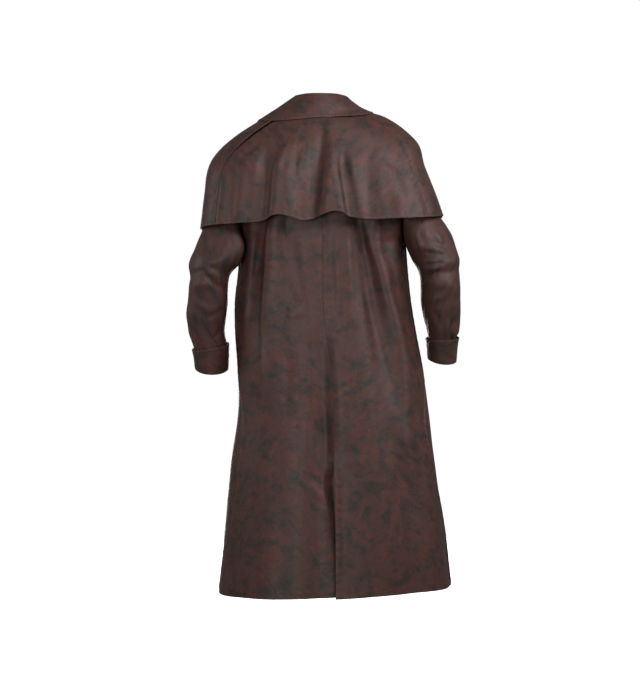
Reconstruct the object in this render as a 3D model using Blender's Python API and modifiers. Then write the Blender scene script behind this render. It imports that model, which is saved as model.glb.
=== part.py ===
"""A long cowboy duster coat with a shoulder cape, empty, as it hangs when worn.

Metres, +Z up. The wearer faces -Y and the left arm is at +X. The origin is the middle
of the neck opening, level with the neck seam at the centre back. Heights are drops
below that seam. Angles run from the centre back round the wearer's left side.
"""

import bmesh
import bpy
import numpy as np

COAT = "duster_coat"
LEFT = 1
RIGHT = -1

# Cloth, seams and layers: the edges of two walls lean together where the cloth turns at a seam
WALL = 0.002
SEAM_GAP = 0.0003
SEAM_LEAN = 0.0002
SEAM_STEP = SEAM_GAP + SEAM_LEAN
LAYER_GAP = 0.001
LAYER_STEP = WALL + LAYER_GAP

# Body of the coat
BACK_LENGTH = 1.31
HEM_TILT = 0.0105
UNDERARM_DROP = 0.36
SIDE_SEAM_ANGLE = 84.0
SIDE_SEAM_PART = 0.03
BODY_SQUARENESS = 2.3
FOLD_FADE_IN = 0.2
FOLD_FADE_OUT = 0.35

# Back vent: the right panel laps over the left one
VENT_DROP = 0.95
VENT_LAP_ANGLE = 9.0
VENT_LAP_COLUMNS = 2
VENT_DIP_ANGLE = 8.0
VENT_DIP_HEIGHT = 0.05
VENT_HOLLOW = 0.020
VENT_HOLLOW_HEIGHT = 0.05
VENT_CLOSING = 0.6
VENT_CLOSING_DROP = 1.05
VENT_HEM_STEP = 0.004
VENT_HEM_STEP_ANGLE = 18.0

# Front closing: the left panel laps over the right one
FRONT_LAP_ANGLE = 8.0
FRONT_LAP_COLUMNS = 2
FRONT_DIP_ANGLE = 9.0
FRONT_YOKE_STEP = 0.004

# Neck and shoulders
NECK_HALF_WIDTH = 0.070
NECK_HALF_DEPTH = 0.075
NECK_FORWARD = 0.003
NECK_SLOPE_DROP = 0.070
NECK_SIDE_RISE = 0.030
SHOULDER_TIP_OUT = 0.195
SHOULDER_TIP_DROP = 0.066
ARMHOLE_MIDDLE = 0.015
ARMHOLE_HALF_DEPTH = 0.092
ARMHOLE_PEAK = 2.598
SHOULDER_GAP = 0.001
YOKE_SPREAD_LOW = 2.0
YOKE_SPREAD_TOP = 1.15

# Pulls on the centre lines of back and front, at the underarm level and at the neck
BACK_CENTRE_PULL = (0, 0, 0.13)
BACK_NECK_PULL = (0, 0.050, -0.075)
FRONT_CENTRE_PULL = (0, 0, 0.11)
FRONT_NECK_PULL = (0, -0.045, -0.060)

# Sleeves, set in just inside the armhole edge
SLEEVE_SET_OUT = 0.0006
SLEEVE_UNDERARM_SET_OUT = 0.0026
SLEEVE_UNDERARM_SET_UP = 0.003
SLEEVE_SET_IN = 0.0014
CUFF_HEIGHT = {LEFT: 0.068, RIGHT: 0.053}
CUFF_GAP = 0.0007
CUFF_STAND_OFF = 0.0045
CUFF_OVERHANG = 0.0015

# Cape and collar
CAPE_SEAM_ANGLE = 50.0
CAPE_FRONT_ANGLE = 171.0
CAPE_SEAM_WAY = (0.84, -0.54)
CAPE_SEAT_OUT = 0.0020
CAPE_SEAT_UP = 0.0024
CAPE_SEAT_LEVEL = 0.3
FLUTE_TOP_WIDTH = 0.4
COLLAR_END_ANGLE = 171.0
COLLAR_SEAT = 0.0022
COLLAR_INSET = 0.001
COLLAR_ROLL_RADIUS = 0.0045
COLLAR_ROLL_END = 30.0
COLLAR_LEVEL_STEP = 0.01
COLLAR_ANGLE_STEP = 1.0

# Numbers of faces
BACK_COLUMNS = 12
FRONT_COLUMNS = 10
YOKE_ROWS = 9
ROWS_ABOVE_VENT = 11
ROWS_BELOW_VENT = 7
SLEEVE_HALF_COLUMNS = YOKE_ROWS
SLEEVE_ROWS = 24
CUFF_ROWS = 3
CAPE_ROWS = 10
CAPE_BACK_COLUMNS = 26
CAPE_FRONT_COLUMNS = 13
COLLAR_COLUMNS = 32
STAND_ROWS = 2
ROLL_ROWS = 4
FALL_ROWS = 4

COAT_COLOUR = (0.062, 0.040, 0.034, 1.0)
COAT_ROUGHNESS = 0.52


class Table:
    """Named columns of sizes, read smoothly between rows by the first column."""

    def __init__(self, columns, *rows):
        self.rows = np.array(rows, float)
        self.columns = columns.split()
        self.places = self.rows[:, 0]

    def read(self, column, place):
        values = self.rows[:, self.columns.index(column)]
        slopes = np.gradient(values, self.places)
        place = np.clip(place, self.places[0], self.places[-1])
        row = np.clip(np.searchsorted(self.places, place) - 1, 0, len(values) - 2)
        step = self.places[row + 1] - self.places[row]
        f = (place - self.places[row]) / step
        start = (2 * f**3 - 3 * f**2 + 1) * values[row] + (f**3 - 2 * f**2 + f) * step * slopes[row]
        end = (3 * f**2 - 2 * f**3) * values[row + 1] + (f**3 - f**2) * step * slopes[row + 1]
        return start + end


BODY = Table(
    "drop centre half_width back front",
    (0.360, -0.0040, 0.2265, 0.143, 0.150),
    (0.435, -0.0055, 0.2305, 0.140, 0.148),
    (0.520, -0.0055, 0.2395, 0.140, 0.147),
    (0.600, -0.0120, 0.2460, 0.144, 0.149),
    (0.700, -0.0245, 0.2525, 0.152, 0.154),
    (0.800, -0.0330, 0.2590, 0.163, 0.161),
    (0.970, -0.0335, 0.2805, 0.183, 0.175),
    (1.170, -0.0385, 0.3035, 0.202, 0.191),
    (1.330, -0.0385, 0.3200, 0.215, 0.203),
)

# Side seams: their angles from the centre back, swinging backwards on the hips
SIDE_SEAM = Table(
    "drop left right",
    (0.360, 84.0, 84.0),
    (0.600, 84.0, 84.0),
    (0.720, 81.0, 82.0),
    (0.850, 65.0, 66.0),
    (1.000, 62.0, 71.0),
    (1.120, 66.0, 80.0),
    (1.330, 69.0, 84.0),
)

# Long hanging folds: angles and drops of both ends, half width in degrees, height out
BODY_FOLD_COLUMNS = "top_angle foot_angle top_drop foot_drop width height".split()
BODY_FOLDS = (
    (40, 43, 0.24, 0.78, 7.0, -0.012),
    (27, 24, 0.24, 0.70, 7.0, 0.008),
    (54, 58, 0.26, 0.70, 6.0, 0.007),
    (-25, -44, 0.24, 0.92, 7.0, -0.014),
    (-36, -56, 0.24, 0.80, 6.0, 0.009),
    (-12, -16, 0.30, 1.20, 9.0, 0.006),
    (10, 7, 0.70, 1.60, 6.0, -0.008),
    (52, 48, 0.75, 1.80, 9.0, -0.010),
    (30, 28, 0.80, 1.80, 9.0, 0.007),
    (-42, -38, 0.85, 1.80, 8.0, -0.009),
    (-62, -60, 0.80, 1.80, 9.0, 0.006),
    (108, 112, 0.40, 1.70, 8.0, 0.007),
    (122, 128, 0.45, 1.80, 8.0, -0.010),
    (146, 148, 0.30, 1.75, 9.0, 0.007),
    (-106, -112, 0.45, 1.75, 8.0, 0.007),
    (-120, -126, 0.40, 1.80, 8.0, -0.011),
    (-144, -150, 0.35, 1.70, 9.0, 0.006),
)

# Sleeve sections from the shoulder to the wrist: the inner and the outer point of each
# section, how far back its middle lies, its half depth, how round it has become, how far its
# back leans towards the body, and how far its back tips down
SLEEVE_COLUMNS = "station inner_out inner_drop outer_out outer_drop middle depth round lean tip"
SLEEVE_SECTIONS = {
    LEFT: (
        (1.0, 0.2258, 0.3572, 0.240, 0.086, 0.016, 0.090, 0.15, 0.008, 0.000),
        (2.0, 0.2276, 0.3588, 0.273, 0.122, 0.017, 0.086, 0.35, 0.018, 0.000),
        (3.0, 0.2292, 0.3625, 0.291, 0.172, 0.018, 0.081, 0.60, 0.028, 0.000),
        (4.0, 0.2302, 0.3685, 0.304, 0.240, 0.021, 0.078, 0.85, 0.036, 0.000),
        (5.0, 0.2240, 0.3770, 0.318, 0.306, 0.040, 0.077, 1.00, 0.040, 0.000),
        (6.0, 0.2215, 0.3940, 0.339, 0.362, 0.050, 0.077, 1.00, 0.036, 0.000),
        (7.0, 0.2260, 0.4200, 0.3600, 0.415, 0.054, 0.077, 1.00, 0.018, 0.000),
        (8.0, 0.2520, 0.4560, 0.3585, 0.456, 0.047, 0.074, 1.00, 0.000, 0.000),
        (9.0, 0.2575, 0.5340, 0.3655, 0.534, 0.032, 0.067, 1.00, 0.000, 0.000),
        (10.0, 0.2665, 0.6000, 0.3635, 0.600, 0.012, 0.060, 1.00, 0.000, 0.003),
        (11.0, 0.2610, 0.6400, 0.3480, 0.654, 0.000, 0.055, 1.00, 0.000, 0.008),
        (12.0, 0.2590, 0.7030, 0.3460, 0.699, -0.014, 0.052, 1.00, 0.000, 0.019),
    ),
    RIGHT: (
        (1.0, 0.2338, 0.3572, 0.234, 0.082, 0.016, 0.090, 0.15, 0.008, 0.000),
        (2.0, 0.2356, 0.3588, 0.255, 0.118, 0.017, 0.086, 0.35, 0.018, 0.000),
        (3.0, 0.2372, 0.3620, 0.268, 0.165, 0.018, 0.081, 0.60, 0.028, 0.000),
        (4.0, 0.2390, 0.3665, 0.292, 0.226, 0.021, 0.078, 0.85, 0.030, 0.000),
        (5.0, 0.2370, 0.3740, 0.326, 0.288, 0.038, 0.077, 1.00, 0.014, 0.000),
        (6.0, 0.2405, 0.3860, 0.357, 0.340, 0.046, 0.077, 1.00, 0.010, 0.000),
        (7.0, 0.2490, 0.4050, 0.3745, 0.400, 0.043, 0.077, 1.00, 0.000, 0.000),
        (8.0, 0.2710, 0.4510, 0.3770, 0.452, 0.047, 0.074, 1.00, 0.000, 0.000),
        (9.0, 0.2760, 0.5340, 0.3820, 0.534, 0.032, 0.066, 1.00, 0.000, 0.000),
        (10.0, 0.2915, 0.5960, 0.3805, 0.598, 0.013, 0.058, 1.00, 0.000, 0.003),
        (11.0, 0.2970, 0.6260, 0.3730, 0.622, 0.002, 0.054, 1.00, 0.000, 0.007),
        (12.0, 0.2970, 0.6730, 0.3710, 0.681, -0.012, 0.051, 1.00, 0.000, 0.015),
    ),
}

# Creases across the sleeves: degrees round from the inner side by way of the back,
# drop, half width round, half height, height out, and how far the crease falls per degree
SLEEVE_CREASE_COLUMNS = "around drop width half_height height slant".split()
SLEEVE_CREASES = {
    LEFT: (
        (110, 0.440, 55, 0.014, -0.006, 0.00025),
        (100, 0.478, 50, 0.014, 0.005, 0.00020),
        (255, 0.500, 45, 0.016, -0.005, 0.00015),
        (150, 0.560, 60, 0.022, 0.004, -0.00020),
    ),
    RIGHT: (
        (110, 0.415, 60, 0.014, 0.006, -0.00020),
        (95, 0.446, 55, 0.012, -0.006, -0.00015),
        (105, 0.482, 50, 0.016, 0.005, 0.00015),
        (250, 0.500, 45, 0.016, -0.005, 0.00015),
        (130, 0.580, 45, 0.020, -0.003, 0.00030),
    ),
}

# Cape rings from the neck to the hem
CAPE = Table(
    "level left_out left_drop right_out right_drop back_out back_drop front_out front_drop square",
    (0.00, 0.0720, 0.0030, 0.0720, 0.0030, 0.0735, -0.0020, 0.0800, 0.0686, 2.0),
    (0.25, 0.1640, 0.0215, 0.1790, 0.0165, 0.1080, 0.0430, 0.1220, 0.1080, 2.2),
    (0.45, 0.2560, 0.0820, 0.2620, 0.0810, 0.1360, 0.1080, 0.1480, 0.1650, 2.6),
    (0.65, 0.3080, 0.1490, 0.2840, 0.1490, 0.1540, 0.1780, 0.1630, 0.2180, 3.0),
    (0.82, 0.3195, 0.2300, 0.3120, 0.2200, 0.1625, 0.2430, 0.1700, 0.2680, 3.1),
    (1.00, 0.3300, 0.3220, 0.3350, 0.2860, 0.1680, 0.3090, 0.1750, 0.3180, 3.1),
)

# Flutes of the cape: angle, half width in degrees, height out, lift of the hem, first level
CAPE_FLUTE_COLUMNS = "angle width height lift start".split()
CAPE_FLUTES = (
    (18.5, 6.5, 0.024, 0.017, 0.25),
    (9.0, 4.5, 0.008, -0.002, 0.30),
    (-6.0, 8.0, 0.024, 0.024, 0.15),
    (36.0, 6.0, -0.006, 0.000, 0.30),
    (-40.0, 8.0, 0.004, 0.000, 0.30),
    (112.0, 8.0, 0.012, 0.007, 0.40),
    (143.0, 9.0, 0.014, 0.009, 0.35),
    (-116.0, 9.0, 0.013, 0.008, 0.40),
    (-148.0, 8.0, 0.013, 0.008, 0.35),
)

# Collar: height of its roll, the level of the cape that its free edge lies on, and how far
# the fall swells between them
COLLAR = Table(
    "angle top edge swell",
    (-171.0, -0.044, 0.310, 0.003),
    (-130.0, 0.002, 0.270, 0.001),
    (-90.0, 0.036, 0.172, -0.006),
    (-45.0, 0.043, 0.200, 0.000),
    (0.0, 0.044, 0.172, 0.002),
    (45.0, 0.044, 0.256, 0.002),
    (90.0, 0.038, 0.274, 0.000),
    (130.0, 0.002, 0.285, 0.002),
    (171.0, -0.044, 0.310, 0.003),
)


def smooth(f):
    """A soft step from 0 to 1."""
    f = np.clip(f, 0.0, 1.0)
    return f * f * (3 - 2 * f)


def bell(f):
    return np.exp(-f * f)


def crest(f):
    """A bell with a broad top and steep flanks."""
    return np.exp(-(f**4))


def turned(angle, middle):
    """Degrees from the middle angle, the short way round."""
    return (angle - middle + 180.0) % 360.0 - 180.0


def place(x, y, z):
    return np.stack(np.broadcast_arrays(x, y, z), axis=-1)


def oval(angle, out_x, out_y, square):
    """Sine and cosine of a rounded box, with the direction that faces out of it."""
    sine = np.sin(np.radians(angle))
    cosine = np.cos(np.radians(angle))
    rounding = (np.abs(sine) ** square + np.abs(cosine) ** square) ** (1 / square)
    length = np.hypot(sine * out_y, cosine * out_x)
    return out_x * sine / rounding, out_y * cosine / rounding, sine * out_y / length, cosine * out_x / length


def body_folds(angle, drop):
    height = 0.0
    for row in BODY_FOLDS:
        fold = dict(zip(BODY_FOLD_COLUMNS, row))
        f = (drop - fold["top_drop"]) / (fold["foot_drop"] - fold["top_drop"])
        middle = fold["top_angle"] + np.clip(f, 0, 1) * (fold["foot_angle"] - fold["top_angle"])
        fade = smooth(f / FOLD_FADE_IN) * smooth((1 - f) / FOLD_FADE_OUT)
        height = height + fold["height"] * fade * bell(turned(angle, middle) / fold["width"])
    return height


def body(angle, drop, inset=0.0):
    """A point of the coat below the armholes."""
    depth = np.where(np.cos(np.radians(angle)) > 0, BODY.read("back", drop), BODY.read("front", drop))
    x, y, out_x, out_y = oval(angle, BODY.read("half_width", drop), depth, BODY_SQUARENESS)
    out = body_folds(angle, drop) - inset
    return place(BODY.read("centre", drop) + x + out * out_x, y + out * out_y, -drop)


def hem_drop(angle):
    return BACK_LENGTH + HEM_TILT * np.sin(np.radians(angle))


def neckline(angle):
    sine = np.sin(np.radians(angle))
    cosine = np.cos(np.radians(angle))
    height = NECK_SLOPE_DROP / 2 * (cosine - 1) + NECK_SIDE_RISE * sine**2
    return place(NECK_HALF_WIDTH * sine, NECK_HALF_DEPTH * cosine - NECK_FORWARD, height)


def armhole_ends(side):
    """The underarm point on the side seam and the tip of the shoulder."""
    underarm = body(side * SIDE_SEAM_ANGLE, np.array(UNDERARM_DROP))
    tip = np.array((side * SHOULDER_TIP_OUT, ARMHOLE_MIDDLE, -SHOULDER_TIP_DROP))
    return underarm, tip


def armhole(side, v, depth):
    """The armhole edge from the underarm to the tip: behind for a positive depth."""
    underarm, tip = armhole_ends(side)
    rise = v * (2 - v)
    points = underarm + (tip - underarm) * rise[..., None]
    points[..., 1] += depth * ARMHOLE_PEAK * rise * (1 - v)
    return points


def bezier(start, start_pull, end_pull, end, v):
    v = v[..., None]
    return (1 - v) ** 3 * start + 3 * v * (1 - v) ** 2 * start_pull + 3 * v**2 * (1 - v) * end_pull + v**3 * end


def yoke(side, angles, centre_pull, neck_pull, neck_angles, depth, v):
    """The part of a panel above the underarm, blended between its four edges.

    The angles run from the panel's centre edge to the side seam. Its top edge is the
    neckline, at neck_angles, and then the shoulder seam.
    """
    u = (angles - angles[0]) / (angles[-1] - angles[0])
    bottom = body(angles, np.full_like(angles, UNDERARM_DROP))
    underarm, tip = armhole_ends(side)
    neck_start, neck_end = neck_angles
    along_neck = neckline(neck_start + (neck_end - neck_start) * np.clip(2 * u, 0, 1))
    side_neck = neckline(np.array(neck_end))
    top = along_neck + (tip - side_neck) * np.clip(2 * u - 1, 0, 1)[:, None]
    centre = bezier(bottom[0], bottom[0] + centre_pull, top[0] + neck_pull, top[0], v)
    outer = armhole(side, v, depth)
    across = u[None, :, None] ** (YOKE_SPREAD_LOW + (YOKE_SPREAD_TOP - YOKE_SPREAD_LOW) * v)[:, None, None]
    up = smooth(v)[:, None, None]
    columns = (1 - across) * centre[:, None] + across * outer[:, None]
    rows = (1 - up) * bottom[None] + up * top[None]
    corners = (1 - across) * ((1 - up) * bottom[0] + up * top[0]) + across * ((1 - up) * underarm + up * tip)
    return rows + columns - corners


def skirt_drops(angles):
    """Drops of the rows from the underarm to the hem, with one row at the vent's top."""
    above = np.linspace(UNDERARM_DROP, VENT_DROP, ROWS_ABOVE_VENT + 1)[:, None] + 0 * angles
    below = np.linspace(0, 1, ROWS_BELOW_VENT + 1)[1:, None]
    return np.vstack((above, VENT_DROP + below * (hem_drop(angles) - VENT_DROP)))


def seam_angle(side, drop):
    return SIDE_SEAM.read("left" if side == LEFT else "right", drop)


def back_panel(side):
    """One half of the back, from the centre seam to the side seam, top row first."""
    angles = side * np.linspace(0, SIDE_SEAM_ANGLE, BACK_COLUMNS + 1)
    v = np.linspace(1, 0, YOKE_ROWS + 1)[:-1]
    top = yoke(
        side,
        angles,
        centre_pull=np.array(BACK_CENTRE_PULL),
        neck_pull=np.array(BACK_NECK_PULL),
        neck_angles=(0, side * 90),
        depth=ARMHOLE_HALF_DEPTH,
        v=v,
    )
    top[..., 1] += SHOULDER_GAP / 2 * v[:, None]
    keep = None
    if side == LEFT:
        lap = np.linspace(-VENT_LAP_ANGLE, 0, VENT_LAP_COLUMNS + 1)[:-1]
        angles = np.concatenate((lap, angles))
        top = np.concatenate((np.repeat(top[:, :1], len(lap), axis=1), top), axis=1)
        keep = np.ones((YOKE_ROWS + ROWS_ABOVE_VENT + ROWS_BELOW_VENT, len(angles) - 1), bool)
        keep[: YOKE_ROWS + ROWS_ABOVE_VENT, : len(lap)] = False
    drops = skirt_drops(angles)
    inset = 0.0
    if side == LEFT:
        under = smooth((VENT_DIP_ANGLE - angles) / VENT_DIP_ANGLE)
        inset = LAYER_STEP * under * smooth((drops - VENT_DROP + VENT_DIP_HEIGHT) / VENT_DIP_HEIGHT)
        closed = VENT_CLOSING * smooth((drops - VENT_CLOSING_DROP) / (BACK_LENGTH - VENT_CLOSING_DROP))
        hollow = VENT_HOLLOW * (1 - closed)
        inset = inset + hollow * under * smooth((drops - VENT_DROP) / VENT_HOLLOW_HEIGHT)
    else:
        step = VENT_HEM_STEP * bell(angles / VENT_HEM_STEP_ANGLE)
        drops = drops + step * smooth((drops - VENT_DROP) / (BACK_LENGTH - VENT_DROP))
    share = (seam_angle(side, drops) - SIDE_SEAM_PART) / SIDE_SEAM_ANGLE
    skirt = body(np.where(side * angles > 0, angles * share, angles), drops, inset)
    from_centre = side * (1 - np.abs(angles) / SIDE_SEAM_ANGLE)
    points = np.concatenate((top, skirt)) + place(from_centre, 1, 0) * SEAM_STEP / 2
    return points, keep


def front_yoke(side, angles, v):
    """The upper front on one side of the middle, at angles from the middle to the side seam."""
    return yoke(
        side,
        angles,
        centre_pull=np.array(FRONT_CENTRE_PULL),
        neck_pull=np.array(FRONT_NECK_PULL),
        neck_angles=(side * 180, side * 90),
        depth=-ARMHOLE_HALF_DEPTH,
        v=v,
    )


def front_panel(side):
    """One half of the front, from its lapping edge to the side seam, top row first."""
    lap = np.linspace(180, 180 - FRONT_LAP_ANGLE, FRONT_LAP_COLUMNS + 1)
    rest = np.linspace(lap[-1], SIDE_SEAM_ANGLE, FRONT_COLUMNS + 1)[1:]
    half = np.concatenate((lap, rest))
    v = np.linspace(1, 0, YOKE_ROWS + 1)[:-1]
    past_middle = front_yoke(-side, -side * half, v)[:, FRONT_LAP_COLUMNS:0:-1]
    top = np.concatenate((past_middle, front_yoke(side, side * half, v)), axis=1)
    angles = side * np.concatenate((360 - lap[:0:-1], half))
    inset = 0.0
    if side == RIGHT:
        under = smooth((np.abs(angles) - 180 + FRONT_LAP_ANGLE + FRONT_DIP_ANGLE) / FRONT_DIP_ANGLE)
        inset = LAYER_STEP * under
        top[..., 1] += FRONT_YOKE_STEP * under
    top[..., 1] -= SHOULDER_GAP / 2 * v[:, None]
    drops = skirt_drops(angles)
    beyond_lap = np.clip(lap[-1] - np.abs(angles), 0, None)
    share = (lap[-1] - seam_angle(side, drops) - SIDE_SEAM_PART) / (lap[-1] - SIDE_SEAM_ANGLE)
    skirt = body(side * (np.abs(angles) - beyond_lap * (share - 1)), drops, inset)
    return np.concatenate((top, skirt)) - np.array((0, 1, 0)) * SEAM_STEP / 2


def sleeve_table(side):
    underarm, tip = armhole_ends(side)
    first = (
        0.0,
        side * underarm[0] + SLEEVE_UNDERARM_SET_OUT,
        -underarm[2] - SLEEVE_UNDERARM_SET_UP,
        side * tip[0] + SLEEVE_SET_OUT,
        -tip[2] + SLEEVE_SET_IN,
        ARMHOLE_MIDDLE,
        ARMHOLE_HALF_DEPTH - SLEEVE_SET_IN,
        0.0,
        0.0,
        0.0,
    )
    return Table(SLEEVE_COLUMNS, first, *SLEEVE_SECTIONS[side])


def sleeve(side, around, station):
    """A point of a sleeve: around is 0 at the inner side, 1 outside, 2 inside again."""
    table = sleeve_table(side)
    v = np.where(around <= 1, around, 2 - around)
    behind = np.where(around <= 1, 1.0, -1.0)
    roundness = table.read("round", station)
    reach = (1 - roundness) * v * (2 - v) + roundness * (1 - np.cos(np.pi * v)) / 2
    swing = (1 - roundness) * ARMHOLE_PEAK * v * (2 - v) * (1 - v) + roundness * np.sin(np.pi * v)
    out = table.read("inner_out", station) * (1 - reach) + table.read("outer_out", station) * reach
    out = out - table.read("lean", station) * np.where(behind > 0, np.sin(np.pi * v), 0.0)
    drop = table.read("inner_drop", station) * (1 - reach) + table.read("outer_drop", station) * reach
    drop = drop + table.read("tip", station) * behind * swing
    back = table.read("middle", station) + behind * table.read("depth", station) * swing
    crease = 0.0
    for row in SLEEVE_CREASES[side]:
        fold = dict(zip(SLEEVE_CREASE_COLUMNS, row))
        turn = turned(around * 180, fold["around"])
        fall = (drop - fold["drop"] - turn * fold["slant"]) / fold["half_height"]
        crease = crease + fold["height"] * bell(turn / fold["width"]) * bell(fall)
    turn = np.pi * around
    return place(side * (out - crease * np.cos(turn)), back + crease * np.sin(turn), -drop)


def around_sleeve(side):
    """Places round a sleeve, in the order that turns its faces outwards."""
    around = np.linspace(0, 2, 2 * SLEEVE_HALF_COLUMNS + 1)
    return around if side == LEFT else around[::-1]


def sleeve_panel(side):
    last = SLEEVE_SECTIONS[side][-1][0]
    stations = np.linspace(0, last, SLEEVE_ROWS + 1)
    return sleeve(side, around_sleeve(side)[None, :], stations[:, None])


def outward(points):
    """Unit normals of a grid of points, by its columns and rows."""
    across = np.gradient(points, axis=1)
    down = np.gradient(points, axis=0)
    normals = np.cross(across, down)
    return normals / np.linalg.norm(normals, axis=-1, keepdims=True)


def round_outward(points):
    """Unit normals of a grid whose last column repeats its first."""
    wrapped = np.concatenate((points[:, -2:-1], points, points[:, 1:2]), axis=1)
    return outward(wrapped)[:, 1:-1]


def cuff_panel(side):
    """A cuff turned back over the end of the sleeve, standing off at its upper edge."""
    last = SLEEVE_SECTIONS[side][-1][0]
    end_drop = SLEEVE_SECTIONS[side][-1][2]
    before_drop = SLEEVE_SECTIONS[side][-2][2]
    cuff_stations = CUFF_HEIGHT[side] / (end_drop - before_drop)
    f = np.linspace(0, 1, CUFF_ROWS + 1)[:, None]
    points = sleeve(side, around_sleeve(side)[None, :], last - cuff_stations * (1 - f))
    move = WALL + CUFF_GAP + CUFF_STAND_OFF * (1 - f)
    points = points + round_outward(points) * move[..., None]
    points[..., 2] -= CUFF_OVERHANG * f
    return points


def cape_ring(angle, level):
    """A point of the cape's hanging form, with its flutes growing towards the hem."""
    sine = np.sin(np.radians(angle))
    cosine = np.cos(np.radians(angle))
    left = sine > 0
    back = cosine > 0
    side_out = np.where(left, CAPE.read("left_out", level), CAPE.read("right_out", level))
    side_drop = np.where(left, CAPE.read("left_drop", level), CAPE.read("right_drop", level))
    end_out = np.where(back, CAPE.read("back_out", level), CAPE.read("front_out", level))
    end_drop = np.where(back, CAPE.read("back_drop", level), CAPE.read("front_drop", level))
    x, y, out_x, out_y = oval(angle, side_out, end_out, CAPE.read("square", level))
    drop = side_drop * sine**2 + end_drop * cosine**2
    out = 0.0
    for row in CAPE_FLUTES:
        flute = dict(zip(CAPE_FLUTE_COLUMNS, row))
        grown = smooth((level - flute["start"]) / (1 - flute["start"]))
        width = flute["width"] * (FLUTE_TOP_WIDTH + (1 - FLUTE_TOP_WIDTH) * grown)
        turn = turned(angle, flute["angle"]) / width
        out = out + flute["height"] * grown * crest(turn)
        drop = drop - flute["lift"] * grown * bell(turn)
    return place(x + out * out_x, y + out * out_y, -drop)


def cape(angle, level):
    """A point of the cape, whose upper edge lies on the neckline of the body."""
    sine = np.sin(np.radians(angle))
    cosine = np.cos(np.radians(angle))
    seat = neckline(angle) + place(CAPE_SEAT_OUT * sine, CAPE_SEAT_OUT * cosine, CAPE_SEAT_UP)
    near_neck = 1 - smooth(level / CAPE_SEAT_LEVEL)
    return cape_ring(angle, level) + (seat - cape_ring(angle, 0.0)) * near_neck[..., None]


def cape_panel(first_angle, last_angle, columns, side=0):
    angles = np.linspace(first_angle, last_angle, columns + 1)[None, :]
    levels = np.linspace(0, 1, CAPE_ROWS + 1)[:, None]
    away = np.array((side * CAPE_SEAM_WAY[0], abs(side) * CAPE_SEAM_WAY[1], 0))
    return cape(angles, levels) + away * SEAM_STEP


def collar_panel():
    """Stand, roll and fall of the collar, from the neck seam out to the free edge."""
    angles = np.linspace(-COLLAR_END_ANGLE, COLLAR_END_ANGLE, COLLAR_COLUMNS + 1)
    sine = np.sin(np.radians(angles))
    cosine = np.cos(np.radians(angles))
    out = place(sine, cosine, 0 * angles)
    rise = np.array((0, 0, 1.0))
    base = neckline(angles) - COLLAR_INSET * out + COLLAR_SEAT * rise
    stand = COLLAR.read("top", angles)[:, None] - base[:, 2:]
    roll_centre = base + (stand - COLLAR_ROLL_RADIUS) * rise + COLLAR_ROLL_RADIUS * out
    rows = [base + (stand - COLLAR_ROLL_RADIUS) * rise * k / STAND_ROWS for k in range(STAND_ROWS)]
    for turn in np.radians(np.linspace(180, COLLAR_ROLL_END, ROLL_ROWS + 1)):
        rows.append(roll_centre + COLLAR_ROLL_RADIUS * (np.cos(turn) * out + np.sin(turn) * rise))
    edge_level = COLLAR.read("edge", angles)
    steps = np.array((-1.0, 0, 1.0))[:, None]
    under = cape(angles, edge_level + steps * COLLAR_LEVEL_STEP)
    across = cape(angles + steps * COLLAR_ANGLE_STEP, edge_level)
    facing = np.cross(across[2] - across[0], under[2] - under[0])
    facing = facing / np.linalg.norm(facing, axis=-1, keepdims=True)
    edge = under[1] + facing * LAYER_STEP
    start = rows[-1]
    swell = COLLAR.read("swell", angles)[:, None] * facing
    for k in range(1, FALL_ROWS + 1):
        f = k / FALL_ROWS
        rows.append(start + (edge - start) * f + swell * np.sin(np.pi * f))
    return np.array(rows)


def leatherette(name):
    material = bpy.data.materials.new(name)
    material.use_nodes = True
    shader = material.node_tree.nodes["Principled BSDF"]
    shader.inputs["Base Color"].default_value = COAT_COLOUR
    shader.inputs["Roughness"].default_value = COAT_ROUGHNESS
    shader.inputs["Metallic"].default_value = 0.0
    material.diffuse_color = COAT_COLOUR
    return material


def cloth(name, points, keep=None, joined=False):
    """A wall of cloth about a grid of points: a flat grid moved into shape, then thickened."""
    rows, columns = points.shape[:2]
    grid = bmesh.new()
    bmesh.ops.create_grid(grid, x_segments=columns - 1, y_segments=rows - 1, size=1)
    for vertex, point in zip(grid.verts, points.reshape(-1, 3)):
        vertex.co = point
    if keep is not None:
        dropped = [face for face, kept in zip(grid.faces, keep.ravel()) if not kept]
        bmesh.ops.delete(grid, geom=dropped, context="FACES")
    if joined:
        bmesh.ops.remove_doubles(grid, verts=grid.verts, dist=1e-6)
    mesh = bpy.data.meshes.new(name)
    grid.to_mesh(mesh)
    grid.free()
    mesh.materials.append(leatherette(name + "_leatherette"))
    mesh.shade_smooth()
    piece = bpy.data.objects.new(name, mesh)
    bpy.data.collections[COAT].objects.link(piece)
    thickness = piece.modifiers.new("wall", "SOLIDIFY")
    thickness.thickness = WALL
    thickness.offset = 0.0
    thickness.use_even_offset = True
    return piece


def main():
    for old in list(bpy.data.objects):
        bpy.data.objects.remove(old)
    bpy.context.scene.collection.children.link(bpy.data.collections.new(COAT))
    for side, word in ((LEFT, "left"), (RIGHT, "right")):
        back, keep = back_panel(side)
        front = front_panel(side)
        if side == RIGHT:
            back = back[:, ::-1]
        else:
            front = front[:, ::-1]
        cloth("back_" + word, back, keep)
        cloth("front_" + word, front)
        cloth("sleeve_" + word, sleeve_panel(side), joined=True)
        cloth("cuff_" + word, cuff_panel(side), joined=True)
    seam = CAPE_SEAM_ANGLE
    cloth("cape_back", cape_panel(-seam, seam, CAPE_BACK_COLUMNS))
    cloth("cape_front_left", cape_panel(seam, CAPE_FRONT_ANGLE, CAPE_FRONT_COLUMNS, LEFT))
    cloth("cape_front_right", cape_panel(-CAPE_FRONT_ANGLE, -seam, CAPE_FRONT_COLUMNS, RIGHT))
    cloth("collar", collar_panel())


main()
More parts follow.
